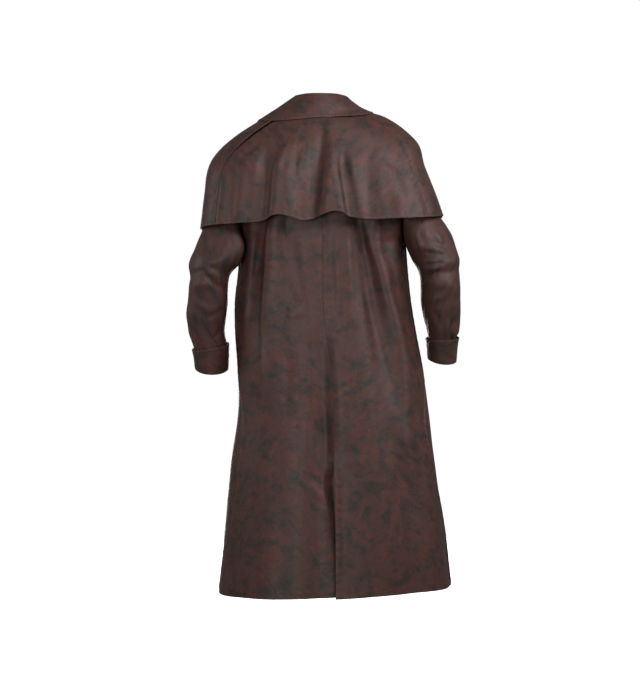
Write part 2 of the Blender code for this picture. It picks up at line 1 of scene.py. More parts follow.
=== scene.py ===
"""Looks of a long cowboy duster coat with a shoulder cape, empty, as it hangs when worn.

Metres, +Z up. The coat's front faces -Y and its left sleeve is at +X. The origin is the
middle of the neck opening, level with the neck seam at the centre back. Heights are drops
below that seam. Angles run from the centre back round the coat's left side.
"""

import math
from types import SimpleNamespace

import bpy
import numpy as np
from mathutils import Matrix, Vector


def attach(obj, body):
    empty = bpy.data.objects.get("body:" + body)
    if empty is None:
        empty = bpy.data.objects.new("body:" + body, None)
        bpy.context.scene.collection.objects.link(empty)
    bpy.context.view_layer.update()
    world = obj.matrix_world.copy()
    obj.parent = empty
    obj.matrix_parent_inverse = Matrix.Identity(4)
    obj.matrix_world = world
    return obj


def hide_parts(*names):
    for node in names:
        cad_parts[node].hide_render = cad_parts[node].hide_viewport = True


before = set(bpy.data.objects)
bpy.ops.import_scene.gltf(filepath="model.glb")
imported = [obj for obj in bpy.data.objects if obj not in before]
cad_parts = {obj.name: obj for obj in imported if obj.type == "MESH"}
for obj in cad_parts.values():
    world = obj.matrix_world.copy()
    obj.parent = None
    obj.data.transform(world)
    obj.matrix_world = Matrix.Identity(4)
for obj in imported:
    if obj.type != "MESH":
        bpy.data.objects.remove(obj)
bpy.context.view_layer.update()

LEFT = 1
RIGHT = -1
MIDDLE = 0
SIDE_WORDS = {LEFT: "_left", RIGHT: "_right", MIDDLE: ""}
BEHIND = 1
BEFORE = -1
TINY = 1e-12

# Cloth, seams and layers
WALL = 0.002
SEAM_GAP = 0.0003
LAYER_GAP = 0.001
LAYER_STEP = WALL + LAYER_GAP
SOFT_EDGE = 0.0004
SOFT_EDGE_STEPS = 2
SOFT_EDGE_ANGLE = 50.0

# Body of the coat
BACK_LENGTH = 1.31
HEM_TILT = 0.0105
UNDERARM_DROP = 0.36
SIDE_SEAM_ANGLE = 84.0
SIDE_SEAM_PART = 0.005
BODY_SQUARENESS = 2.3
FOLD_FADE_IN = 0.2
FOLD_FADE_OUT = 0.35

# Side seams below the armholes: the front steps in there and runs on under the back
SIDE_LAP_ANGLE = 2.2
SIDE_LAP_STEP = 0.0036
SIDE_LAP_REACH = 5.0
SIDE_LAP_FADE = 0.05

# Back vent: the right panel laps over the left one
VENT_DROP = 0.95
VENT_LAP_ANGLE = 9.0
VENT_LAP_COLUMNS = 14
VENT_DIP_ANGLE = 8.0
VENT_DIP_HEIGHT = 0.05
VENT_HOLLOW = 0.020
VENT_HOLLOW_HEIGHT = 0.05
VENT_CLOSING = 0.6
VENT_CLOSING_DROP = 1.05
VENT_HEM_STEP = 0.004
VENT_HEM_STEP_ANGLE = 18.0

# Front closing: the left panel laps over the right one
FRONT_LAP_ANGLE = 8.0
FRONT_LAP_COLUMNS = 10
FRONT_DIP_ANGLE = 9.0
FRONT_YOKE_STEP = 0.004

# Neck and shoulders
NECK_HALF_WIDTH = 0.070
NECK_HALF_DEPTH = 0.075
NECK_FORWARD = 0.003
NECK_SLOPE_DROP = 0.070
NECK_SIDE_RISE = 0.030
SHOULDER_TIP_OUT = 0.195
SHOULDER_TIP_DROP = 0.066
ARMHOLE_MIDDLE = 0.015
ARMHOLE_HALF_DEPTH = 0.092
ARMHOLE_PEAK = 2.598
SHOULDER_GAP = 0.001
YOKE_SPREAD_LOW = 2.0
YOKE_SPREAD_TOP = 1.15

# Upper back and front: the pulls on the centre line at the underarm level and at the neck, and the
# angle of the neckline at that line
YOKES = {
    BEHIND: ((0, 0, 0.13), (0, 0.050, -0.075), 0),
    BEFORE: ((0, 0, 0.11), (0, -0.045, -0.060), 180),
}

# Sleeves, set in just inside the armhole edge, with a seam along the inner side
SLEEVE_SET_OUT = 0.0006
SLEEVE_UNDERARM_SET_OUT = 0.0026
SLEEVE_UNDERARM_SET_UP = 0.003
SLEEVE_SET_IN = 0.0014
SLEEVE_SEAM_SHARE = 0.0012
CUFF_HEIGHT = {LEFT: 0.068, RIGHT: 0.053}
CUFF_GAP = 0.0007
CUFF_STAND_OFF = 0.0045
CUFF_OVERHANG = 0.0015

# Cape and collar
CAPE_SEAM_ANGLE = 50.0
CAPE_FRONT_ANGLE = 171.0
CAPE_SEAM_WAY = (0.84, -0.54)
CAPE_SEAT_OUT = 0.0020
CAPE_SEAT_UP = 0.0024
CAPE_SEAT_LEVEL = 0.3
FLUTE_TOP_WIDTH = 0.4
COLLAR_END_ANGLE = 171.0
COLLAR_SEAT = 0.0022
COLLAR_INSET = 0.001
COLLAR_ROLL_RADIUS = 0.0045
COLLAR_ROLL_END = 30.0
COLLAR_LEVEL_STEP = 0.01
COLLAR_ANGLE_STEP = 1.0

# Numbers of faces in even steps
YOKE_ROWS = 64
ROWS_ABOVE_VENT = 110
SLEEVE_ROWS = 150
STAND_ROWS = 10
ROLL_ROWS = 8

# Numbers of faces in uneven steps, with the first and the last step as shares of an even one
BACK_COLUMNS = (76, 0.4, 0.5)
FRONT_COLUMNS = (74, 0.7, 0.5)
ROWS_BELOW_VENT = (80, 1.2, 0.4)
SLEEVE_COLUMNS = (116, 0.5, 0.5)
CUFF_ROWS = (26, 0.5, 0.6)
CAPE_ROWS = (90, 1.1, 0.5)
CAPE_BACK_COLUMNS = (170, 0.6, 0.6)
CAPE_FRONT_COLUMNS = (130, 0.6, 0.6)
COLLAR_COLUMNS = (170, 0.6, 0.6)
FALL_ROWS = (30, 1.0, 0.5)


class Table:
    """Named columns of sizes, read smoothly between rows by the first column."""

    def __init__(self, columns, *rows):
        self.columns = columns.split()
        self.rows = np.array(rows, float)
        self.places = self.rows[:, 0]
        self.slopes = np.gradient(self.rows, self.places, axis=0)

    def at(self, where):
        where = np.clip(where, self.places[0], self.places[-1])
        row = np.clip(np.searchsorted(self.places, where) - 1, 0, len(self.rows) - 2)
        step = (self.places[row + 1] - self.places[row])[..., None]
        f = (where - self.places[row])[..., None] / step
        start = (2 * f**3 - 3 * f**2 + 1) * self.rows[row] + (f**3 - 2 * f**2 + f) * step * self.slopes[row]
        end = (3 * f**2 - 2 * f**3) * self.rows[row + 1] + (f**3 - f**2) * step * self.slopes[row + 1]
        return SimpleNamespace(**dict(zip(self.columns, np.moveaxis(start + end, -1, 0))))


BODY = Table(
    "drop centre half_width back front",
    (0.36, -0.004, 0.2265, 0.143, 0.15),
    (0.435, -0.0055, 0.2305, 0.14, 0.148),
    (0.52, -0.0055, 0.2395, 0.14, 0.147),
    (0.6, -0.012, 0.246, 0.144, 0.149),
    (0.7, -0.0245, 0.2525, 0.152, 0.154),
    (0.8, -0.033, 0.259, 0.163, 0.161),
    (0.97, -0.0335, 0.2805, 0.183, 0.175),
    (1.17, -0.0385, 0.3035, 0.202, 0.191),
    (1.33, -0.0385, 0.32, 0.215, 0.203),
)

# Side seams: their angles from the centre back, swinging backwards on the hips
SIDE_SEAM = Table(
    "drop left right",
    (0.36, 84, 84),
    (0.6, 84, 84),
    (0.72, 81, 82),
    (0.85, 65, 66),
    (1, 62, 71),
    (1.12, 66, 80),
    (1.33, 69, 84),
)

# Long hanging folds: angles and drops of both ends, half width in degrees, height out
BODY_FOLD_COLUMNS = "top_angle foot_angle top_drop foot_drop width height".split()
BODY_FOLDS = (
    (40, 43, 0.24, 0.78, 7, -0.012),
    (27, 24, 0.24, 0.7, 7, 0.008),
    (54, 58, 0.26, 0.7, 6, 0.007),
    (-25, -44, 0.24, 0.92, 7, -0.014),
    (-36, -56, 0.24, 0.8, 6, 0.009),
    (-12, -16, 0.3, 1.2, 9, 0.006),
    (10, 7, 0.7, 1.6, 6, -0.008),
    (52, 48, 0.75, 1.8, 9, -0.01),
    (30, 28, 0.8, 1.8, 9, 0.007),
    (-42, -38, 0.85, 1.8, 8, -0.009),
    (-62, -60, 0.8, 1.8, 9, 0.006),
    (108, 112, 0.4, 1.7, 8, 0.007),
    (122, 128, 0.45, 1.8, 8, -0.01),
    (146, 148, 0.3, 1.75, 9, 0.007),
    (-106, -112, 0.45, 1.75, 8, 0.007),
    (-120, -126, 0.4, 1.8, 8, -0.011),
    (-144, -150, 0.35, 1.7, 9, 0.006),
)

# Sleeve sections from the shoulder to the wrist: the inner and the outer point of each
# section, how far back its middle lies, its half depth, how round it has become, how far its
# back leans towards the body, and how far its back tips down
SLEEVE_SIZES = "station inner_out inner_drop outer_out outer_drop middle depth round lean tip"
SLEEVE_SECTIONS = {
    LEFT: (
        (1, 0.2258, 0.3572, 0.24, 0.086, 0.016, 0.09, 0.15, 0.008, 0),
        (2, 0.2276, 0.3588, 0.273, 0.122, 0.017, 0.086, 0.35, 0.018, 0),
        (3, 0.2292, 0.3625, 0.291, 0.172, 0.018, 0.081, 0.6, 0.028, 0),
        (4, 0.2302, 0.3685, 0.304, 0.24, 0.021, 0.078, 0.85, 0.036, 0),
        (5, 0.224, 0.377, 0.318, 0.306, 0.04, 0.077, 1, 0.04, 0),
        (6, 0.2215, 0.394, 0.339, 0.362, 0.05, 0.077, 1, 0.036, 0),
        (7, 0.226, 0.42, 0.36, 0.415, 0.054, 0.077, 1, 0.018, 0),
        (8, 0.252, 0.456, 0.3585, 0.456, 0.047, 0.074, 1, 0, 0),
        (9, 0.2575, 0.534, 0.3655, 0.534, 0.032, 0.067, 1, 0, 0),
        (10, 0.2665, 0.6, 0.3635, 0.6, 0.012, 0.06, 1, 0, 0.003),
        (11, 0.261, 0.64, 0.348, 0.654, 0, 0.055, 1, 0, 0.008),
        (12, 0.259, 0.703, 0.346, 0.699, -0.014, 0.052, 1, 0, 0.019),
    ),
    RIGHT: (
        (1, 0.2338, 0.3572, 0.234, 0.082, 0.016, 0.09, 0.15, 0.008, 0),
        (2, 0.2356, 0.3588, 0.255, 0.118, 0.017, 0.086, 0.35, 0.018, 0),
        (3, 0.2372, 0.362, 0.268, 0.165, 0.018, 0.081, 0.6, 0.028, 0),
        (4, 0.239, 0.3665, 0.292, 0.226, 0.021, 0.078, 0.85, 0.03, 0),
        (5, 0.237, 0.374, 0.326, 0.288, 0.038, 0.077, 1, 0.014, 0),
        (6, 0.2405, 0.386, 0.357, 0.34, 0.046, 0.077, 1, 0.01, 0),
        (7, 0.249, 0.405, 0.3745, 0.4, 0.043, 0.077, 1, 0, 0),
        (8, 0.271, 0.451, 0.377, 0.452, 0.047, 0.074, 1, 0, 0),
        (9, 0.276, 0.534, 0.382, 0.534, 0.032, 0.066, 1, 0, 0),
        (10, 0.2915, 0.596, 0.3805, 0.598, 0.013, 0.058, 1, 0, 0.003),
        (11, 0.297, 0.626, 0.373, 0.622, 0.002, 0.054, 1, 0, 0.007),
        (12, 0.297, 0.673, 0.371, 0.681, -0.012, 0.051, 1, 0, 0.015),
    ),
}

# Folds across the sleeves: degrees round from the inner side by way of the back,
# drop, half width round, half height, height out, and how far the fold falls per degree
SLEEVE_FOLD_COLUMNS = "around drop width half_height height slant".split()
SLEEVE_FOLDS = {
    LEFT: (
        (110, 0.44, 55, 0.014, -0.006, 0.00025),
        (100, 0.478, 50, 0.014, 0.005, 0.0002),
        (255, 0.5, 45, 0.016, -0.005, 0.00015),
        (150, 0.56, 60, 0.022, 0.004, -0.0002),
    ),
    RIGHT: (
        (110, 0.415, 60, 0.014, 0.006, -0.0002),
        (95, 0.446, 55, 0.012, -0.006, -0.00015),
        (105, 0.482, 50, 0.016, 0.005, 0.00015),
        (250, 0.5, 45, 0.016, -0.005, 0.00015),
        (130, 0.58, 45, 0.02, -0.003, 0.0003),
    ),
}

# Cape rings from the neck to the hem
CAPE = Table(
    "level left_out left_drop right_out right_drop back_out back_drop front_out front_drop square",
    (0, 0.072, 0.003, 0.072, 0.003, 0.0735, -0.002, 0.08, 0.0686, 2),
    (0.25, 0.164, 0.0215, 0.179, 0.0165, 0.108, 0.043, 0.122, 0.108, 2.2),
    (0.45, 0.256, 0.082, 0.262, 0.081, 0.136, 0.108, 0.148, 0.165, 2.6),
    (0.65, 0.308, 0.149, 0.284, 0.149, 0.154, 0.178, 0.163, 0.218, 3),
    (0.82, 0.3195, 0.23, 0.312, 0.22, 0.1625, 0.243, 0.17, 0.268, 3.1),
    (1, 0.33, 0.322, 0.335, 0.286, 0.168, 0.309, 0.175, 0.318, 3.1),
)

# Flutes of the cape: angle, half width in degrees, height out, lift of the hem, first level
CAPE_FLUTE_COLUMNS = "angle width height lift start".split()
CAPE_FLUTES = (
    (18.5, 6.5, 0.024, 0.017, 0.25),
    (9, 4.5, 0.008, -0.002, 0.3),
    (-6, 8, 0.024, 0.024, 0.15),
    (36, 6, -0.006, 0, 0.3),
    (-40, 8, 0.004, 0, 0.3),
    (112, 8, 0.012, 0.007, 0.4),
    (143, 9, 0.014, 0.009, 0.35),
    (-116, 9, 0.013, 0.008, 0.4),
    (-148, 8, 0.013, 0.008, 0.35),
)

# Collar: height of its roll, the level of the cape that its free edge lies on, and how far
# the fall swells between them
COLLAR = Table(
    "angle top edge swell",
    (-171, -0.044, 0.31, 0.003),
    (-130, 0.002, 0.27, 0.001),
    (-90, 0.036, 0.172, -0.006),
    (-45, 0.043, 0.2, 0),
    (0, 0.044, 0.172, 0.002),
    (45, 0.044, 0.256, 0.002),
    (90, 0.038, 0.274, 0),
    (130, 0.002, 0.285, 0.002),
    (171, -0.044, 0.31, 0.003),
)

# Creases laid into the cloth as seen from behind or from before: both ends, half width, height
# out, and how far the line bows sideways
CREASE_COLUMNS = "x drop x_end drop_end width height bow".split()

# The share of a crease over which each end fades, the height of its two shoulders and how many half
# widths off they lie, and how far creases reach round to the other side of the coat
CREASE_FADE = 0.3
CREASE_SHOULDER = 0.25
CREASE_SHOULDER_OFF = 1.9
CREASE_WRAP = 0.3

CAPE_BACK_CREASES = (
    (-0.013, 0.05, 0.014, 0.31, 0.015, -0.0058, 0.006),
    (-0.05, 0.105, -0.092, 0.36, 0.012, -0.0085, 0.003),
    (-0.08, 0.1, -0.12, 0.36, 0.02, 0.0075, 0.003),
    (-0.095, 0.268, -0.245, 0.25, 0.06, 0.006, 0),
    (0.064, 0.115, 0.078, 0.34, 0.019, 0.0055, 0),
    (0.148, 0.08, 0.157, 0.35, 0.017, -0.009, -0.002),
    (0.092, 0.08, 0.122, 0.18, 0.011, 0.003, 0),
    (0.205, 0.115, 0.22, 0.34, 0.022, 0.005, 0),
    (0.232, 0.14, 0.247, 0.34, 0.014, -0.0044, 0),
    (0.262, 0.15, 0.28, 0.34, 0.012, 0.0028, 0),
    (-0.15, 0.118, -0.226, 0.18, 0.013, -0.0018, 0.004),
    (-0.205, 0.14, -0.24, 0.254, 0.013, -0.0012, -0.004),
    (-0.15, 0.18, -0.172, 0.33, 0.015, 0.0026, 0),
    (-0.12, 0.16, -0.136, 0.33, 0.012, -0.0018, 0.003),
    (0.083, 0.08, 0.05, 0.18, 0.026, 0.0036, 0),
    (-0.15, 0.09, -0.2, 0.27, 0.026, 0.004, 0),
    (0.15, 0.078, 0.24, 0.17, 0.008, -0.0024, 0.004),
    (0.06, 0.06, 0.09, 0.13, 0.012, -0.0016, 0.003),
    (-0.06, 0.06, -0.18, 0.15, 0.022, -0.003, 0.003),
)
CAPE_FRONT_CREASES = (
    (0.09, 0.15, 0.104, 0.32, 0.01, -0.003, 0.003),
    (-0.098, 0.16, -0.112, 0.32, 0.01, -0.0028, -0.002),
    (0.19, 0.12, 0.224, 0.31, 0.011, 0.003, 0),
    (-0.202, 0.11, -0.228, 0.3, 0.01, 0.003, 0),
    (0.052, 0.125, 0.047, 0.3, 0.008, 0.0022, 0.002),
    (-0.06, 0.13, -0.054, 0.29, 0.009, 0.002, 0),
    (0.15, 0.09, 0.246, 0.18, 0.006, -0.002, 0.004),
    (-0.16, 0.085, -0.24, 0.17, 0.006, -0.0022, -0.003),
    (0.262, 0.15, 0.28, 0.31, 0.009, -0.0028, 0),
    (-0.268, 0.15, -0.29, 0.29, 0.009, -0.0026, 0),
)
BODY_BACK_CREASES = (
    (0.12, 0.16, 0.166, 0.8, 0.027, 0.0135, 0),
    (0.106, 0.18, 0.17, 0.79, 0.012, 0.004, 0),
    (0.164, 0.18, 0.208, 0.72, 0.022, -0.005, 0),
    (0.157, 0.31, 0.186, 0.475, 0.006, 0.0026, 0),
    (0.095, 0.3, 0.088, 0.43, 0.005, -0.0018, 0),
    (0.092, 0.29, 0.036, 0.61, 0.018, -0.0048, 0.004),
    (0.096, 0.556, 0.044, 0.55, 0.012, 0.0026, 0.004),
    (0.102, 0.2, 0.098, 0.66, 0.02, -0.005, 0),
    (0.082, 0.62, 0.092, 0.86, 0.013, -0.0016, 0.003),
    (0.19, 0.78, 0.21, 1.44, 0.03, 0.0075, 0),
    (0.118, 0.8, 0.106, 1.44, 0.03, -0.005, 0),
    (0.18, 0.93, 0.192, 1.06, 0.0035, 0.0018, 0.002),
    (-0.046, 0.29, -0.05, 0.58, 0.009, 0.0028, 0.002),
    (-0.02, 0.31, -0.018, 0.48, 0.009, -0.0014, 0),
    (-0.08, 0.25, -0.102, 0.62, 0.011, -0.0028, 0),
    (0.004, 0.56, -0.02, 1, 0.023, -0.0085, 0),
    (-0.042, 0.56, -0.066, 1, 0.03, 0.0045, 0),
    (-0.054, 0.765, -0.078, 0.761, 0.006, 0.0022, 0.003),
    (-0.048, 0.944, -0.13, 0.952, 0.016, 0.0018, 0.006),
    (-0.096, 0.27, -0.156, 0.64, 0.022, -0.008, 0.003),
    (-0.14, 0.5, -0.194, 1.02, 0.022, -0.0064, 0.004),
    (-0.098, 0.24, -0.144, 0.42, 0.008, 0.0045, 0),
    (-0.088, 0.24, -0.13, 0.44, 0.012, -0.004, 0),
    (-0.16, 0.22, -0.176, 0.45, 0.018, -0.0075, 0),
    (-0.128, 0.3, -0.207, 0.6, 0.014, 0.0046, 0.004),
    (-0.196, 0.5, -0.248, 0.85, 0.018, 0.0036, 0.004),
    (-0.184, 0.82, -0.224, 1.05, 0.014, -0.0026, 0.003),
    (-0.212, 0.68, -0.258, 1.06, 0.017, 0.0048, 0.003),
    (0.034, 1, -0.012, 1.058, 0.01, 0.0034, 0.004),
    (-0.036, 1.009, -0.062, 1.011, 0.0032, 0.0015, 0),
    (-0.036, 1.046, -0.058, 1.049, 0.0032, 0.0015, 0),
    (-0.036, 1.073, -0.056, 1.072, 0.003, 0.0012, 0),
    (-0.037, 1.135, -0.056, 1.138, 0.003, 0.0012, 0),
    (-0.037, 1.153, -0.054, 1.152, 0.003, 0.0012, 0),
    (-0.037, 1.175, -0.058, 1.178, 0.0032, 0.0013, 0),
)

# Each half of the back at the vent: the left half sinks in beside the edge of the right one
VENT_CREASES = {
    LEFT: (
        (-0.006, 0.8, -0.014, 1.09, 0.023, -0.0085, 0),
        (-0.03, 1.02, -0.034, 1.5, 0.016, 0.006, 0),
    ),
    RIGHT: (
        (-0.041, 0.92, -0.045, 1.28, 0.007, 0.0026, 0),
    ),
}
BODY_FRONT_CREASES = (
    (0.06, 0.4, 0.078, 0.82, 0.012, -0.003, 0.004),
    (-0.07, 0.43, -0.086, 0.91, 0.012, -0.0032, -0.004),
    (0.14, 0.48, 0.172, 1.02, 0.012, 0.003, 0.004),
    (-0.15, 0.5, -0.182, 1.06, 0.012, 0.003, -0.004),
    (0.1, 0.93, 0.116, 1.27, 0.014, -0.003, 0.003),
    (-0.11, 0.96, -0.132, 1.28, 0.013, 0.003, -0.003),
    (0.205, 0.33, 0.125, 0.46, 0.008, -0.0028, 0.006),
    (-0.214, 0.33, -0.135, 0.47, 0.008, -0.0028, -0.006),
    (0.195, 0.38, 0.11, 0.53, 0.009, 0.0022, 0.006),
    (-0.2, 0.39, -0.118, 0.54, 0.009, 0.0022, -0.006),
    (0.034, 0.56, 0.024, 0.93, 0.006, 0.0014, 0.002),
    (-0.036, 0.62, -0.044, 0.99, 0.007, -0.0014, 0.002),
    (0.21, 0.88, 0.236, 1.2, 0.01, -0.0026, 0.003),
    (-0.23, 0.9, -0.262, 1.22, 0.01, -0.0026, -0.003),
)
SLEEVE_BACK_CREASES = {
    LEFT: (
        (0.324, 0.446, 0.25, 0.494, 0.007, -0.0042, 0.004),
        (0.322, 0.424, 0.262, 0.464, 0.007, 0.0034, 0.003),
        (0.352, 0.514, 0.282, 0.554, 0.009, 0.0024, 0.004),
        (0.25, 0.528, 0.318, 0.57, 0.007, -0.0022, -0.004),
        (0.258, 0.574, 0.298, 0.626, 0.006, -0.0024, -0.003),
        (0.318, 0.345, 0.33, 0.425, 0.011, 0.0032, 0),
        (0.262, 0.33, 0.29, 0.43, 0.01, -0.0026, 0.004),
        (0.34, 0.58, 0.326, 0.636, 0.007, 0.002, 0),
    ),
    RIGHT: (
        (-0.27, 0.372, -0.344, 0.39, 0.01, 0.005, 0.003),
        (-0.266, 0.424, -0.342, 0.416, 0.006, -0.0044, 0.003),
        (-0.27, 0.398, -0.33, 0.404, 0.007, 0.0026, 0),
        (-0.27, 0.46, -0.326, 0.436, 0.006, -0.0034, 0.003),
        (-0.286, 0.522, -0.358, 0.494, 0.009, 0.0024, 0.003),
        (-0.355, 0.56, -0.356, 0.66, 0.004, -0.005, 0),
        (-0.343, 0.56, -0.342, 0.66, 0.005, 0.0022, 0),
        (-0.31, 0.33, -0.331, 0.372, 0.008, 0.003, 0.002),
        (-0.3, 0.54, -0.33, 0.6, 0.008, -0.0022, -0.003),
        (-0.262, 0.33, -0.29, 0.38, 0.008, -0.0026, 0.002),
    ),
}
SLEEVE_FRONT_CREASES = {
    LEFT: (
        (0.34, 0.436, 0.262, 0.47, 0.008, -0.0042, 0.004),
        (0.344, 0.474, 0.268, 0.508, 0.008, 0.0032, 0.003),
        (0.35, 0.545, 0.278, 0.578, 0.009, -0.0024, 0.004),
        (0.33, 0.34, 0.3, 0.42, 0.01, 0.0028, 0),
    ),
    RIGHT: (
        (-0.358, 0.428, -0.284, 0.462, 0.008, -0.0042, 0.004),
        (-0.362, 0.466, -0.288, 0.5, 0.009, 0.0032, 0.003),
        (-0.368, 0.536, -0.3, 0.562, 0.008, -0.0024, 0.004),
        (-0.345, 0.33, -0.312, 0.41, 0.01, 0.0028, 0),
    ),
}
COLLAR_CREASES = (
    (0.034, -0.032, 0.04, 0.01, 0.008, -0.001, 0),
    (-0.02, 0.032, -0.15, 0.026, 0.014, 0.005, 0),
    (-0.05, -0.03, -0.058, 0.006, 0.008, 0.001, 0),
    (0.096, -0.022, 0.12, 0.012, 0.008, -0.0012, 0),
    (-0.096, -0.02, -0.112, 0.006, 0.007, -0.001, 0),
)

# Slack of the cloth: sizes of its soft swells across and along, their height and their slant
SLACK_COLUMNS = "across along height slant".split()
BODY_SLACK = ((0.085, 0.240, 0.0016, 0.15), (0.034, 0.070, 0.0005, -0.40), (0.013, 0.017, 0.00012, 0.50))
CAPE_SLACK = ((0.070, 0.110, 0.0014, 0.20), (0.030, 0.044, 0.0005, -0.40), (0.012, 0.015, 0.00012, 0.50))
SLEEVE_SLACK = ((0.060, 0.080, 0.0012, 0.50), (0.028, 0.026, 0.0006, -0.60), (0.012, 0.013, 0.00014, 0.40))
TRIM_SLACK = ((0.060, 0.050, 0.0005, 0.30), (0.024, 0.020, 0.0003, -0.30), (0.010, 0.010, 0.00010, 0.50))

# Sewn edges: groove at the edge and its half width, width of the turning, how far the turned
# cloth stands up, depth and half width of the groove under the stitches, height of the puckers,
# and the length after which the edge flattens out
EDGE_COLUMNS = "groove groove_width turning rise pull pull_width pucker full_length".split()
EDGES = {
    "seam": (0, 0.003, 0.006, 0, 0, 0.002, 0.0003, 9),
    "set_in_seam": (0.0003, 0.003, 0.006, 0, 0, 0.002, 0.0002, 9),
    "flat_seam": (0.0006, 0.003, 0.006, 0, 0, 0.002, 0.0004, 0.08),
    "side_seam": (0, 0.0015, 0.0045, 0.0028, 0.0004, 0.003, 0.0002, 9),
    "lapped_over": (0, 0.002, 0.008, 0.0028, 0.0004, 0.005, 0.0003, 0.14),
    "lapped_under": (0.003, 0.007, 0.008, 0, 0, 0.003, 0.0003, 0.14),
    "sewn_edge": (0.0006, 0.002, 0.007, 0.0005, 0.0006, 0.002, 0.0004, 9),
    "hem": (0.0006, 0.002, 0.024, 0.0002, 0.0003, 0.0024, 0.0005, 9),
}
FLATTENED = 0.75
TIGHT_WIDTH = 0.020
PUCKER_PITCH = 0.021
PUCKER_REACH = 0.011
# Half width of the lighter band along edges: wear at hems and sewn edges, a painted highlight at the side
# seams
EDGE_WEAR_AND_HIGHLIGHT_WIDTH = 0.0045

# Waves of the puckers: height, pitch and shift
PUCKER_WAVES = ((1.0, 1.0, 1), (0.6, 0.63, 2), (0.5, 1.37, 0))

STITCH_PITCH = 0.0046
STITCH_LENGTH = 0.0036
THREAD_RADIUS = 0.00042
STITCH_SIDES = 5
STITCH_RINGS = ((-0.36, 0.7), (0.0, 1.0), (0.36, 0.7))


def smooth(f):
    """A soft step from 0 to 1."""
    f = np.clip(f, 0.0, 1.0)
    return f * f * (3 - 2 * f)


def bell(f):
    return np.exp(-f * f)


def crest(f):
    """A bell with a broad top and steep flanks."""
    return np.exp(-(f**4))


def named(columns, rows):
    """Rows of a table with their values by the names of its columns."""
    return [SimpleNamespace(**dict(zip(columns, row))) for row in rows]


def sine_cosine(angle):
    turn = np.radians(angle)
    return np.sin(turn), np.cos(turn)


def turned(angle, middle):
    """Degrees from the middle angle, the short way round."""
    return (angle - middle + 180.0) % 360.0 - 180.0


def place(x, y, z):
    return np.stack(np.broadcast_arrays(x, y, z), axis=-1)


def spread(count, first, last):
    """Shares from 0 to 1, whose first and last steps are these shares of an even step."""
    t = np.linspace(0, 1, count + 1)
    return t**3 * (first + last - 2) + t**2 * (3 - 2 * first - last) + t * first


def oval(angle, out_x, out_y, square):
    """A point of a rounded box, and the direction that faces out of the box there."""
    sine, cosine = sine_cosine(angle)
    rounding = (np.abs(sine) ** square + np.abs(cosine) ** square) ** (1 / square)
    length = np.hypot(sine * out_y, cosine * out_x)
    point = out_x * sine / rounding, out_y * cosine / rounding
    return *point, sine * out_y / length, cosine * out_x / length


def body_folds(angle, drop):
    height = 0.0
    for fold in named(BODY_FOLD_COLUMNS, BODY_FOLDS):
        f = (drop - fold.top_drop) / (fold.foot_drop - fold.top_drop)
        middle = fold.top_angle + np.clip(f, 0, 1) * (fold.foot_angle - fold.top_angle)
        fade = smooth(f / FOLD_FADE_IN) * smooth((1 - f) / FOLD_FADE_OUT)
        height = height + fold.height * fade * bell(turned(angle, middle) / fold.width)
    return height


def body(angle, drop, inset=0.0):
    """A point of the coat below the armholes."""
    sizes = BODY.at(drop)
    depth = np.where(np.cos(np.radians(angle)) > 0, sizes.back, sizes.front)
    x, y, out_x, out_y = oval(angle, sizes.half_width, depth, BODY_SQUARENESS)
    out = body_folds(angle, drop) - inset
    return place(sizes.centre + x + out * out_x, y + out * out_y, -drop)


def hem_drop(angle):
    return BACK_LENGTH + HEM_TILT * np.sin(np.radians(angle))


def neckline(angle):
    sine, cosine = sine_cosine(angle)
    height = NECK_SLOPE_DROP / 2 * (cosine - 1) + NECK_SIDE_RISE * sine**2
    return place(NECK_HALF_WIDTH * sine, NECK_HALF_DEPTH * cosine - NECK_FORWARD, height)


def armhole_ends(side):
    """The underarm point on the side seam and the tip of the shoulder."""
    underarm = body(side * SIDE_SEAM_ANGLE, np.array(UNDERARM_DROP))
    tip = np.array((side * SHOULDER_TIP_OUT, ARMHOLE_MIDDLE, -SHOULDER_TIP_DROP))
    return underarm, tip


def armhole(side, v, depth):
    """The armhole edge from the underarm to the tip: behind for a positive depth."""
    underarm, tip = armhole_ends(side)
    rise = v * (2 - v)
    points = underarm + (tip - underarm) * rise[..., None]
    points[..., 1] += depth * ARMHOLE_PEAK * rise * (1 - v)
    return points


def bezier(start, start_pull, end_pull, end, v):
    v = v[..., None]
    pulls = 3 * v * (1 - v) ** 2 * start_pull + 3 * v**2 * (1 - v) * end_pull
    return (1 - v) ** 3 * start + pulls + v**3 * end


def yoke(side, facing, angles, v):
    """The part of a panel above the underarm, blended between its four edges.

    The angles run from the panel's centre edge to the side seam. Its top edge is the
    neckline and then the shoulder seam.
    """
    centre_pull, neck_pull, neck_angle = YOKES[facing]
    u = (angles - angles[0]) / (angles[-1] - angles[0])
    bottom = body(angles, np.full_like(angles, UNDERARM_DROP))
    underarm, tip = armhole_ends(side)
    along_neck = neckline(side * (neck_angle + (90 - neck_angle) * np.clip(2 * u, 0, 1)))
    side_neck = neckline(np.array(side * 90))
    top = along_neck + (tip - side_neck) * np.clip(2 * u - 1, 0, 1)[:, None]
    centre = bezier(bottom[0], bottom[0] + np.array(centre_pull), top[0] + np.array(neck_pull), top[0], v)
    outer = armhole(side, v, facing * ARMHOLE_HALF_DEPTH)
    across = u[None, :, None] ** (YOKE_SPREAD_LOW + (YOKE_SPREAD_TOP - YOKE_SPREAD_LOW) * v)[:, None, None]
    up = smooth(v)[:, None, None]
    columns = (1 - across) * centre[:, None] + across * outer[:, None]
    rows = (1 - up) * bottom[None] + up * top[None]
    corners = (1 - across) * ((1 - up) * bottom[0] + up * top[0]) + across * ((1 - up) * underarm + up * tip)
    return rows + columns - corners


